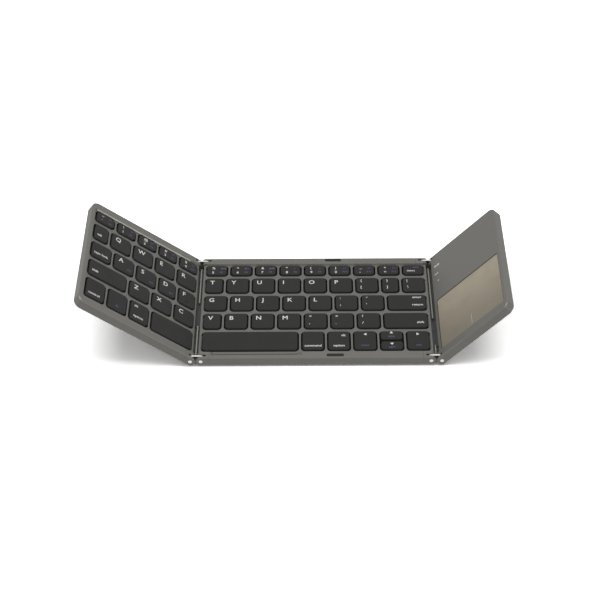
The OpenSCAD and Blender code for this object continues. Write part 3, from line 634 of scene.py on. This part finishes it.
def paint_relief_shadow(looks):
    """A painted shadow: a dark strip at the foot of the thumb relief, in front of the long space
    bar.
    """
    key = next(k for k in KEYS if k.node == "key_middle_space")
    below_key, past_key, cut = 0.9 * MM, 1.0 * MM, 2.0 * MM
    width, mitre = looks.relief_shadow_width, looks.relief_shadow_width * 0.4
    foot = key.y - key.d / 2 - looks.relief_from_key
    left, right = key.x - key.w / 2 + looks.relief_inset, key.x + key.w / 2 + past_key
    z = key.top - below_key + PRINT_LIFT
    near = [(left, foot + cut, z), (left, foot, z), (right - cut, foot, z), (right, foot + cut, z)]
    far = [(left + width, foot + cut, z), (left + width, foot + width, z),
           (right - cut - mitre, foot + width, z), (right - width, foot + cut, z)]
    # the strip is printed in a dark ink as a painted shadow
    line = ribbon("thumb_relief_shadow", near, far, PLACES["middle"],
                  printed("Relief shadow", shade(looks.colour, 0.35)[:3]))
    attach(line, "middle_panel")


def paint_rear_edge_highlight(looks):
    """A painted highlight: a bright band along the inner edge of the left wing's rear border."""
    keys = [k for k in KEYS if k.panel == "left"]
    short_of_keys, behind_keys, above_keys = 6 * MM, 0.8 * MM, 0.1 * MM
    left = min(k.x - k.w / 2 for k in keys)
    right = max(k.x + k.w / 2 for k in keys) - short_of_keys
    rear = max(k.y + k.d / 2 for k in keys) + behind_keys
    top = max(k.top for k in keys) + above_keys + PRINT_LIFT
    near = [(x, rear - 0.25 * MM, top - 0.75 * MM) for x in (left, right)]
    far = [(x, rear + 0.15 * MM, top) for x in (left, right)]
    # a bright band laid on the edge as a painted highlight
    band = ribbon("left_rear_edge_highlight", near, far, PLACES["left"],
                  drawn_metal("Painted chamfer highlight", looks.rear_highlight_colour, 0.34))
    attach(band, "left_wing")


def bend_cable(side, material):
    """A film of the flex cable's shape, in the cable's place; the cable itself is hidden."""
    node = f"{side}_flex_cable"
    mesh = NODES[node].data.copy()
    mesh.transform(NODES[node].matrix_world)
    mesh.materials.clear()
    mesh.materials.append(material)
    film = add_object(f"{side}_flex_film", mesh)
    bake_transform(film)
    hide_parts(node)


def shade_the_fold(side, looks, material):
    """A thin dark liner under the spine bar, between the two rows of hinge pins, that stands in as
    painted shade in the fold's gap.
    """
    low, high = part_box(f"{side}_spine")
    inner, outer = (JOINTS[f"fold_{side}_{row}"]["pos_m"][0] for row in ("inner", "outer"))
    way, clear, rounding = math.copysign(1, outer - inner), 0.05 * MM, 0.08 * MM
    ends = (inner + way * looks.liner_from_panel, outer - way * looks.liner_from_wing)
    mesh = bmesh.new()
    for x in sorted(ends):
        for y in (low.y, high.y):
            for z in (low.z + clear, low.z + looks.liner_thickness):
                mesh.verts.new((x, y, z))
    bmesh.ops.convex_hull(mesh, input=mesh.verts)
    bmesh.ops.bevel(mesh, geom=mesh.edges, offset=rounding, segments=2, affect="EDGES")
    liner = bpy.data.meshes.new(f"{side}_fold_shade_liner")
    mesh.to_mesh(liner)
    mesh.free()
    liner.materials.append(material)
    piece = add_object(f"{side}_fold_shade_liner", liner)
    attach(piece, f"{side}_fold")


# ---------------------------------------------------------------- studio


def floor_paint(name, looks):
    """Matt pale floor that reads white to the camera outside the shadows."""
    material = bpy.data.materials.new(name)
    wires = bare_tree(material)
    near, far, far_lift = 0.5, 1.8, looks.floor_lift + 1.4
    matt = wires.add("ShaderNodeBsdfDiffuse", {"Color": shade(looks.floor_colour)})
    rays = wires.add("ShaderNodeLightPath").outputs
    place = wires.add("ShaderNodeTexCoord").outputs["Object"]
    distance = wires.vectors("LENGTH", {0: place}, "Value")
    lift = wires.span(distance, near, far, looks.floor_lift, far_lift)
    extra = wires.maths("ADD", wires.times(rays["Is Camera Ray"], lift),
                        wires.times(rays["Is Glossy Ray"], looks.floor_shine))
    lifted = wires.add("ShaderNodeCombineColor", {0: extra, 1: extra, 2: extra})
    glow = wires.add("ShaderNodeBsdfDiffuse", {"Color": lifted.outputs[0]})
    both = wires.add("ShaderNodeAddShader", {0: matt.outputs[0], 1: glow.outputs[0]})
    wires.add("ShaderNodeOutputMaterial", {"Surface": both.outputs[0]})
    return material


def light_the_sky(scene, looks):
    """A white sky to the camera and in reflections, and an even softer light on the object."""
    world = bpy.data.worlds.new("Studio sky")
    scene.world = world
    wires = bare_tree(world)
    rays = wires.add("ShaderNodeLightPath").outputs
    seen = wires.maths("MAXIMUM", rays["Is Camera Ray"], rays["Is Glossy Ray"])
    seen = wires.maths("MAXIMUM", seen, rays["Is Transmission Ray"])
    strength = wires.span(seen, 0.0, 1.0, looks.sky_strength, 1.0)
    sky = wires.add("ShaderNodeBackground", {"Color": (1, 1, 1, 1), "Strength": strength})
    wires.add("ShaderNodeOutputWorld", {"Surface": sky.outputs[0]})


def soft_lamp(name, power, size, place):
    """A large square lamp that looks at the middle of the floor."""
    data = bpy.data.lights.new(name, "AREA")
    data.energy = power
    data.size = size
    lamp = add_object(name, data)
    lamp.location = place
    lamp.visible_camera = False
    lamp.rotation_mode = "QUATERNION"
    lamp.rotation_quaternion = (-Vector(place)).to_track_quat("-Z", "Y")


def stand_camera(looks):
    """The camera at the photograph's viewing angle."""
    data = bpy.data.cameras.new("camera")
    data.sensor_width = 36
    data.lens = looks.focal
    data.clip_start, data.clip_end = 0.05, 20
    across = Vector((math.cos(looks.yaw), math.sin(looks.yaw), 0))
    ahead = Vector((-math.sin(looks.yaw), math.cos(looks.yaw), 0))
    view = ahead * math.cos(looks.pitch) - Vector((0, 0, 1)) * math.sin(looks.pitch)
    level_up = ahead * math.sin(looks.pitch) + Vector((0, 0, 1)) * math.cos(looks.pitch)
    right = across * math.cos(looks.roll) + level_up * math.sin(looks.roll)
    up = level_up * math.cos(looks.roll) - across * math.sin(looks.roll)
    turned = Matrix((right, up, -view)).transposed().to_4x4()
    turned.translation = PLACES["middle"] @ Vector(looks.eye)
    camera = add_object("camera", data)
    camera.matrix_world = turned
    return camera


# ---------------------------------------------------------------- keycaps


def moulded_block_tree():
    """A rounded block on every point, as wide and deep as the point's own width and depth."""
    tree = bpy.data.node_groups.new("Moulded blocks", "GeometryNodeTree")
    tree.is_modifier = True
    tree.interface.new_socket(name="Geometry", in_out="OUTPUT", socket_type="NodeSocketGeometry")
    for label, kind in (("Geometry", "Geometry"), ("Height", "Float"), ("Corner", "Float"),
                        ("Edge rounding", "Float"), ("Draft", "Float"), ("Steps", "Int"),
                        ("Hollow", "Bool"), ("Wall", "Float"), ("Pocket", "Float"),
                        ("Material", "Material")):
        tree.interface.new_socket(name=label, in_out="INPUT", socket_type="NodeSocket" + kind)
    wires = Wiring(tree)
    given = wires.add("NodeGroupInput").outputs
    base = 0.02  # side of a block before it is stretched

    def step(kind, inputs, output=0, **settings):
        return wires.add("GeometryNode" + kind, inputs, **settings).outputs[output]

    def attribute(name, kind="FLOAT_VECTOR"):
        return step("InputNamedAttribute", {"Name": name}, "Attribute", data_type=kind)

    def stored(geometry, name, value):
        return step("StoreNamedAttribute", {"Geometry": geometry, "Name": name, "Value": value},
                    data_type="FLOAT_VECTOR", domain="POINT")

    def raised(mesh, rise, **more):
        return wires.add("GeometryNodeExtrudeMesh", {
            "Mesh": mesh, "Offset": wires.merge(Z=rise), "Offset Scale": 1.0,
            "Individual": False, **more}, mode="FACES").outputs

    def drawn_in(extruded, inwards):
        pull = wires.vectors("SCALE", {
            0: attribute("outwards"), "Scale": wires.times(inwards, -1.0)})
        return step("SetPosition", {
            "Geometry": extruded["Mesh"], "Selection": extruded["Top"], "Offset": pull})

    # each point of the outline keeps the way out of the block, as seen from its corner's centre
    outline = step("CurvePrimitiveQuadrilateral", {"Width": base, "Height": base})
    fillet = step("FilletCurve", {
        "Curve": outline, "Count": given["Steps"], "Radius": given["Corner"]}, mode="POLY")
    fill = step("FillCurve", {"Curve": fillet}, mode="NGONS")
    where = wires.split(step("InputPosition", {}))
    inner = wires.less(base / 2, given["Corner"])
    way = []
    for axis in ("X", "Y"):
        size = wires.maths("MAXIMUM", wires.less(wires.maths("ABSOLUTE", where[axis]), inner), 0.0)
        way.append(wires.times(size, wires.maths("SIGN", where[axis])))
    outwards = wires.vectors("NORMALIZE", {0: wires.merge(X=way[0], Y=way[1])})
    sole = stored(fill, "outwards", outwards)

    # the walls rise from the outline in rings, then turn in over the rounded edge
    shape = drawn_in(raised(sole, wires.less(given["Height"], given["Edge rounding"])),
                     given["Draft"])
    turns = 5  # rings over the rounded edge
    for turn in range(1, turns + 1):
        now = math.pi / 2 * turn / turns
        last = now - math.pi / (2 * turns)
        inwards = wires.times(given["Edge rounding"], math.cos(last) - math.cos(now))
        rise = wires.times(given["Edge rounding"], math.sin(now) - math.sin(last))
        shape = drawn_in(raised(shape, rise), inwards)

    # the underside is a flat sole, or a wall's rim round a pocket
    under = step("FlipFaces", {"Mesh": sole})
    rim = raised(under, 0.0)
    pocket = raised(drawn_in(rim, given["Wall"]), given["Pocket"], Selection=rim["Top"])
    foot = step("Switch", {"Switch": given["Hollow"], "False": under, "True": pocket["Mesh"]},
                input_type="GEOMETRY")
    both = wires.add("GeometryNodeJoinGeometry")
    wires.join(shape, both.inputs[0])
    wires.join(foot, both.inputs[0])
    closed = step("MergeByDistance", {"Geometry": both.outputs[0], "Distance": WELD})

    # the level top and underside stay flat, and everything else is shaded smooth
    level = wires.maths("ABSOLUTE", wires.split(step("InputNormal", {}))["Z"])
    nearly_level = 0.9999
    sloping = wires.add("FunctionNodeCompare", {0: level, 1: nearly_level},
                        data_type="FLOAT", operation="LESS_THAN").outputs[0]
    smooth = step("SetShadeSmooth", {"Geometry": closed, "Shade Smooth": sloping}, domain="FACE")
    local = stored(smooth, "local", step("InputPosition", {}))

    # one block on each point, then stretched from its middle so that the corners stay round
    placed = step("InstanceOnPoints", {"Points": given["Geometry"], "Instance": local})
    real = step("RealizeInstances", {"Geometry": placed})
    place = wires.split(attribute("local"))
    stretch = [wires.times(wires.times(wires.less(attribute(label, "FLOAT"), base), 0.5),
                           wires.maths("SIGN", place[axis]))
               for axis, label in (("X", "width"), ("Y", "depth"))]
    sized = step("SetPosition", {
        "Geometry": real, "Offset": wires.merge(X=stretch[0], Y=stretch[1])})
    dressed = step("SetMaterial", {"Geometry": sized, "Material": given["Material"]})
    wires.add("NodeGroupOutput", {"Geometry": dressed})


def blocks(name, places, panel, sizes):
    """A piece of moulded blocks at (x, y, z, width, depth) of a panel's own frame."""
    points = bpy.data.meshes.new(name + "_points")
    points.from_pydata([place[:3] for place in places], [], [])
    for label, column in (("width", 3), ("depth", 4)):
        attribute = points.attributes.new(label, "FLOAT", "POINT")
        attribute.data.foreach_set("value", [place[column] for place in places])
    maker = add_object(name + "_maker", points)
    modifier = maker.modifiers.new("Blocks", "NODES")
    modifier.node_group = bpy.data.node_groups["Moulded blocks"]
    for item in modifier.node_group.interface.items_tree:
        if item.in_out == "INPUT" and item.name in sizes:
            modifier[item.identifier] = sizes[item.name]
    shown = maker.evaluated_get(bpy.context.evaluated_depsgraph_get())
    mesh = bpy.data.meshes.new_from_object(shown)
    mesh.name = name
    bpy.data.objects.remove(maker)
    for label in ("outwards", "local", "width", "depth"):
        if label in mesh.attributes:
            mesh.attributes.remove(mesh.attributes[label])
    mesh.transform(PLACES[panel])
    return add_object(name, mesh)


# ---------------------------------------------------------------- legends
# a mark is (text, ink, kind, side, mm from that side, mm from the key's rear edge)


def letter(text):
    """A letter near the rear left corner."""
    return [(text, LIGHT, "letter", LEFT, 3.3, 2.9)]


def number(signs, label, icon):
    """A sign over its digit, and the second function to the right."""
    return [(signs[0], LIGHT, "sign", LEFT, 4.1, 1.9), (signs[1], LIGHT, "sign", LEFT, 4.1, 6.2),
            (icon, SECOND, "small", LEFT, 9.6, 2.6), (label, SECOND, "small", LEFT, 9.4, 6.3)]


def second(word):
    """A small second function near the front right corner."""
    return [(word, SECOND, "small", RIGHT, 2.4, 9.8)]


def pair(signs):
    """Two signs, one over the other."""
    return [(sign, LIGHT, "sign", LEFT, 3.3, down) for sign, down in zip(signs, (2.2, 8.6))]


def words(*marks):
    """Words, each with its side, its distance from there and from the rear edge."""
    return [(text, LIGHT, "word", side, across, down) for text, side, across, down in marks]


def arrow(sign, word, down=2.4, word_down=12.6):
    """An arrow at the middle, with a word in the second ink under it."""
    return [(sign, LIGHT, "arrow", CENTRE, 0, down), (word, SECOND, "small", CENTRE, 0, word_down)]


MIDDLE_LEGENDS = [
    [*map(number, "%5 ^6 &7 *8 (9 )0 _- +=".split(), "F5 F6 F7 F8 F9 F10 F11 F12".split(),
          "◀◀ ▶| ▶▶ ♪ ♪- ♪+ ☀ ☀+".split()),
     [("delete", LIGHT, "small", LEFT, 3.0, 5.4), ("back", SECOND, "small", RIGHT, 3.0, 1.8)]],
    [*map(letter, "TYUIOP"), pair("{["), pair("}]"), pair("|\\")],
    [*map(letter, "GHJKL"), pair(":;"), pair("\"'"),
     words(("enter", RIGHT, 3.2, 1.6), ("return", RIGHT, 2.6, 8.9))],
    [*map(letter, "VBNM"), pair("<,"), pair(">."), pair("?/"), words(("shift", RIGHT, 2.8, 8.5))],
    [[], words(("command", CENTRE, 0, 12.6)),
     words(("alt", RIGHT, 2.9, 3.0), ("option", CENTRE, 0, 12.6)),
     arrow("◀", "home"), arrow("▲", "pgup", 0.8, 4.2), arrow("▼", "pgdn", 2.2, 4.9),
     arrow("▶", "end")],
]
LEFT_LEGENDS = [
    [*map(number, "~` !1 @2 #3 $4".split(), "esc F1 F2 F3 F4".split(), "○◁□◇○")],
    [words(("tab", LEFT, 2.6, 8.6)), *map(letter, "QWER")],
    [words(("caps lock", LEFT, 2.2, 8.8)), letter("A") + second("ch1"), letter("S") + second("ch2"),
     letter("D") + second("ch3"), letter("F")],
    [words(("shift", LEFT, 2.6, 8.4)), *map(letter, "ZXC")],
    [words(("control", LEFT, 2.4, 12.2)), [("fn", SECOND, "word", CENTRE, 0, 12.2)],
     words(("alt", LEFT, 3.0, 3.0), ("option", LEFT, 2.8, 12.2)), []],
]


def legend_table():
    """Each key with the marks it carries, row by row from the rear and from left to right."""
    table = []
    for panel, legends in (("middle", MIDDLE_LEGENDS), ("left", LEFT_LEGENDS)):
        keys = sorted((k for k in KEYS if k.panel == panel), key=lambda k: -k.y - k.d / 2)
        for row in legends:
            here, keys = keys[: len(row)], keys[len(row):]
            here.sort(key=lambda k: (round(k.x, 4), -k.y))
            table += list(zip(here, row))
        if keys:
            raise RuntimeError(f"{len(keys)} keys of the {panel} panel have no legend row")
    return table


def text_mesh(text, size, stroke):
    """Flat text of that size as a mesh, as (points, faces), with its baseline at y = 0."""
    curve = bpy.data.curves.new("legend", "FONT")
    curve.body = text
    curve.size = 1.0
    curve.offset = stroke
    curve.resolution_u = 3
    writer = add_object("legend", curve)
    shown = writer.evaluated_get(bpy.context.evaluated_depsgraph_get())
    mesh = bpy.data.meshes.new_from_object(shown)
    points = [(v.co.x * size, v.co.y * size) for v in mesh.vertices]
    faces = [tuple(p.vertices) for p in mesh.polygons]
    bpy.data.objects.remove(writer)
    bpy.data.meshes.remove(mesh)
    bpy.data.curves.remove(curve)
    return points, faces


def print_marks(name, marks, stroke, place, materials):
    """A flat print: marks are (text, ink, height, side, x, y, z), in metres of a panel's frame."""
    verts, faces, inks = [], [], []
    for text, ink, height, side, x, y, z in marks:
        points, polygons = text_mesh(text, height / CAPITAL, stroke)
        low, high = min(p[0] for p in points), max(p[0] for p in points)
        shift = {LEFT: -low, CENTRE: -(low + high) / 2, RIGHT: -high}[side]
        start = len(verts)
        verts += [(x + shift + p[0], y + p[1], z) for p in points]
        faces += [tuple(start + i for i in polygon) for polygon in polygons]
        inks += [ink] * len(polygons)
    return sheet(name, verts, faces, place, materials, inks)


def print_light_signs(looks):
    """Small plain signs beside the two rear lights."""
    place = PLACES["right"]
    lights = sorted(solids_of("indicator_lights", place), key=lambda ends: -ends[0].y)
    top = max(high.z for low, high in solids_of("right_top_plate", place)) + PRINT_LIFT
    marks = []
    for (low, high), (sign, size, beside) in zip(lights, LIGHT_SIGNS):
        middle, height = (low + high) / 2, size * looks.mark_height
        for across in beside:
            marks.append((sign, LIGHT, height, CENTRE,
                          middle.x + across * MM, middle.y - height / 2, top))
    piece = print_marks("light_signs", marks, 0.0, place, [printed("Sign ink", looks.mark_colour)])
    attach(piece, "right_wing")


# ---------------------------------------------------------------- operators


class KEYBOARD_OT_shared_effects(bpy.types.Operator):
    """Build the shader and geometry trees that the other steps share"""

    bl_idname = "keyboard.shared_effects"
    bl_label = "Shared effects"

    def execute(self, context):
        for build in (grain_group, smudge_group, edge_highlight_group, crevice_shade_group, brush_group,
                      moulded_block_tree):
            build()
        return {"FINISHED"}


class KEYBOARD_OT_case(bpy.types.Operator):
    """Dress the covers, frames, grilles, feet, bumpers and screws"""

    bl_idname = "keyboard.case"
    bl_label = "Case"

    def execute(self, context):
        looks = context.scene.keyboard_case
        case = anodised("Anodised case", looks.colour, looks)
        grille = anodised("Anodised grille", looks.grille_colour, looks, highlight=0.4)
        rubber = moulded("Dark rubber", looks.rubber_colour, 0.72, grain=0.0004,
                         relief=0.00003, edge_highlight_tone=1.4)
        steel = drawn_metal("Screw steel", context.scene.keyboard_hinges.steel_colour, 0.3)
        for endings, material in ((("_bottom_cover", "_top_frame", "_top_plate"), case),
                                  (("_key_grille",), grille),
                                  (("_bumpers", "_feet", "_switch_sheet"), rubber),
                                  (("_screws",), steel)):
            for node in NODES:
                if node.endswith(endings):
                    wear_finish(node, material)
        # a painted shadow at the thumb relief and a painted highlight on the left wing's rear edge
        paint_relief_shadow(looks)
        paint_rear_edge_highlight(looks)
        return {"FINISHED"}


class KEYBOARD_OT_hinges(bpy.types.Operator):
    """Dress the link plates, pins, spines and flex cables of both folds"""

    bl_idname = "keyboard.hinges"
    bl_label = "Hinges"

    def execute(self, context):
        looks = context.scene.keyboard_hinges
        finishes = {
            "hinge_pins": drawn_metal("Bright link steel", looks.steel_colour, 0.2),
            # the link plates' flanks get painted shade
            "link_plates": drawn_metal("Ground link steel", looks.steel_colour, 0.2,
                                       shaded_flanks=True),
            "spine": anodised("Spine metal", looks.spine_colour, context.scene.keyboard_case,
                              highlight=0.3),
        }
        cable = flex_film("Flex cable film", looks.cable_colour)
        # a dark liner, as painted shade in the fold's gap
        rubber = moulded("Fold shade liner", looks.fold_shade_colour, 0.8, grain=0.0003)
        for side in ("left", "right"):
            for part, material in finishes.items():
                wear_finish(f"{side}_{part}", material)
            bend_cable(side, cable)
            shade_the_fold(side, looks, rubber)
        return {"FINISHED"}


class KEYBOARD_OT_inner_parts(bpy.types.Operator):
    """Dress the board, battery, charging port and lights of the right wing"""

    bl_idname = "keyboard.inner_parts"
    bl_label = "Inner parts"

    def execute(self, context):
        steel = context.scene.keyboard_hinges.steel_colour
        wear_finish("main_board", circuit_board("Main board"))
        wear_finish("battery", cell_foil("Battery foil"))
        wear_finish("charging_port", drawn_metal("Port steel", steel, 0.28))
        wear_finish("indicator_lights",
                    light_pipe("Light pipe", context.scene.keyboard_pad.mark_colour))
        return {"FINISHED"}


class KEYBOARD_OT_touch_pad(bpy.types.Operator):
    """Dress the touch pad and print its button line and the signs beside the lights"""

    bl_idname = "keyboard.touch_pad"
    bl_label = "Touch pad"

    def execute(self, context):
        looks = context.scene.keyboard_pad
        place = PLACES["right"]
        low, high = solids_of("touch_pad", place)[0]
        up = place.to_3x3() @ Vector((0, 0, 1))
        wear_finish("touch_pad", pad_surface("Touch pad surface", looks, low.y, high.y, up))
        ink = printed("Button line ink", looks.line_colour)
        middle, start = (low.x + high.x) / 2, low.y + looks.line_from_front
        ends = (start, start + looks.line_length)
        near, far = ([(middle + side * looks.line_width / 2, y, high.z + PRINT_LIFT) for y in ends]
                     for side in (LEFT, RIGHT))
        line = ribbon("touch_pad_line", near, far, place, ink)
        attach(line, "touch_pad")
        print_light_signs(looks)
        return {"FINISHED"}


class KEYBOARD_OT_keycaps(bpy.types.Operator):
    """Make the keycaps of every key body, and the homing bars"""

    bl_idname = "keyboard.keycaps"
    bl_label = "Keycaps"

    def execute(self, context):
        looks = context.scene.keyboard_keys
        plastic = moulded("Keycap plastic", looks.colour, 0.52)
        sizes = {"Height": looks.cap_height, "Corner": looks.corner, "Draft": looks.draft,
                 "Edge rounding": looks.edge_round, "Steps": looks.steps, "Hollow": True,
                 "Wall": looks.wall, "Pocket": looks.cap_height - looks.roof,
                 "Material": plastic}
        bar_sizes = {"Height": 0.32 * MM, "Corner": 0.28 * MM, "Edge rounding": 0.18 * MM,
                     "Draft": 0.02 * MM, "Steps": 4, "Material": plastic}
        for body, panel in KEY_BODIES.items():
            keys = [k for k in KEYS if k.body == body]
            places = [(k.x, k.y, k.top - looks.cap_height, k.w - looks.trim, k.d - looks.trim)
                      for k in keys]
            caps = blocks(f"caps_{body.removeprefix('key_')}", places, panel, sizes)
            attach(caps, body)
            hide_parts(*BODIES[body])
            if body in HOMING_KEYS:
                key, sunk, width, depth = keys[0], 0.1 * MM, 3.0 * MM, 0.6 * MM
                bar = (key.x, key.y - key.d * 0.2, key.top - sunk, width, depth)
                piece = blocks(f"homing_bar_{body[-1]}", [bar], panel, bar_sizes)
                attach(piece, body)
        return {"FINISHED"}


class KEYBOARD_OT_legends(bpy.types.Operator):
    """Print the letters, digits, signs and words on the keycaps"""

    bl_idname = "keyboard.legends"
    bl_label = "Legends"

    def execute(self, context):
        looks = context.scene.keyboard_keys
        inks = [printed("Light ink", looks.ink_colour),
                printed("Violet ink", looks.second_ink_colour)]
        heights = {"letter": looks.letter_height, "word": looks.word_height,
                   "sign": looks.sign_height, "small": looks.word_height * 0.8,
                   "arrow": looks.word_height * 0.85}
        table = legend_table()
        for body, panel in KEY_BODIES.items():
            marks = []
            for key, legend in table:
                for text, ink, kind, side, across, down in (legend if key.body == body else ()):
                    x = key.x + side * key.w / 2 - side * across * MM
                    y = key.y + key.d / 2 - down * MM - heights[kind]
                    marks.append((text, ink, heights[kind], side, x, y, key.top + PRINT_LIFT))
            if marks:
                piece = print_marks(f"legends_{body.removeprefix('key_')}", marks, looks.stroke,
                                    PLACES[panel], inks)
                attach(piece, body)
        return {"FINISHED"}


class KEYBOARD_OT_studio(bpy.types.Operator):
    """Set up the pale floor, the soft lamps and the camera"""

    bl_idname = "keyboard.studio"
    bl_label = "Studio"

    def execute(self, context):
        scene = context.scene
        looks = scene.keyboard_studio
        scene.view_settings.view_transform = "Standard"
        half = looks.floor_size / 2
        corners = [(-half, -half, 0), (half, -half, 0), (half, half, 0), (-half, half, 0)]
        floor = sheet("floor", corners, [(0, 1, 2, 3)], Matrix(),
                      [floor_paint("Floor paint", looks)])
        light_the_sky(scene, looks)
        high, low, spread = looks.lamp_power, looks.side_power, looks.lamp_spread
        soft_lamp("overhead_left_lamp", high * 1.12, 0.7, (-spread, -0.1, 1.5))
        soft_lamp("overhead_right_lamp", high * 0.93, 0.7, (spread, -0.1, 1.5))
        soft_lamp("left_lamp", low, 0.5, (-1.3, -0.5, 0.35))
        soft_lamp("right_lamp", low, 0.5, (1.1, -0.9, 0.4))
        soft_lamp("front_lamp", looks.front_power, 0.25, (0.6, -1.25, 0.12))
        scene.camera = stand_camera(looks)
        return {"FINISHED"}


STEPS = (KEYBOARD_OT_shared_effects, KEYBOARD_OT_case, KEYBOARD_OT_hinges,
         KEYBOARD_OT_inner_parts, KEYBOARD_OT_touch_pad, KEYBOARD_OT_keycaps,
         KEYBOARD_OT_legends, KEYBOARD_OT_studio)
LOOKS = {"keyboard_case": CaseLooks, "keyboard_keys": KeyLooks, "keyboard_pad": PadLooks,
         "keyboard_hinges": HingeLooks, "keyboard_studio": StudioLooks}


class KEYBOARD_PT_panel(bpy.types.Panel):
    """Lists the steps that dress the keyboard"""

    bl_label = "Folding keyboard"
    bl_idname = "KEYBOARD_PT_panel"
    bl_space_type = "VIEW_3D"
    bl_region_type = "UI"
    bl_category = "Keyboard"

    def draw(self, context):
        for step in STEPS:
            self.layout.operator(step.bl_idname)


def register():
    for kind in (*LOOKS.values(), *STEPS, KEYBOARD_PT_panel):
        bpy.utils.register_class(kind)
    for name, kind in LOOKS.items():
        setattr(bpy.types.Scene, name, PointerProperty(type=kind))


def unregister():
    for name in LOOKS:
        delattr(bpy.types.Scene, name)
    for kind in reversed((*LOOKS.values(), *STEPS, KEYBOARD_PT_panel)):
        bpy.utils.unregister_class(kind)


def main():
    register()
    for step in STEPS:
        group, name = step.bl_idname.split(".")
        getattr(getattr(bpy.ops, group), name)()


if __name__ == "__main__":
    main()
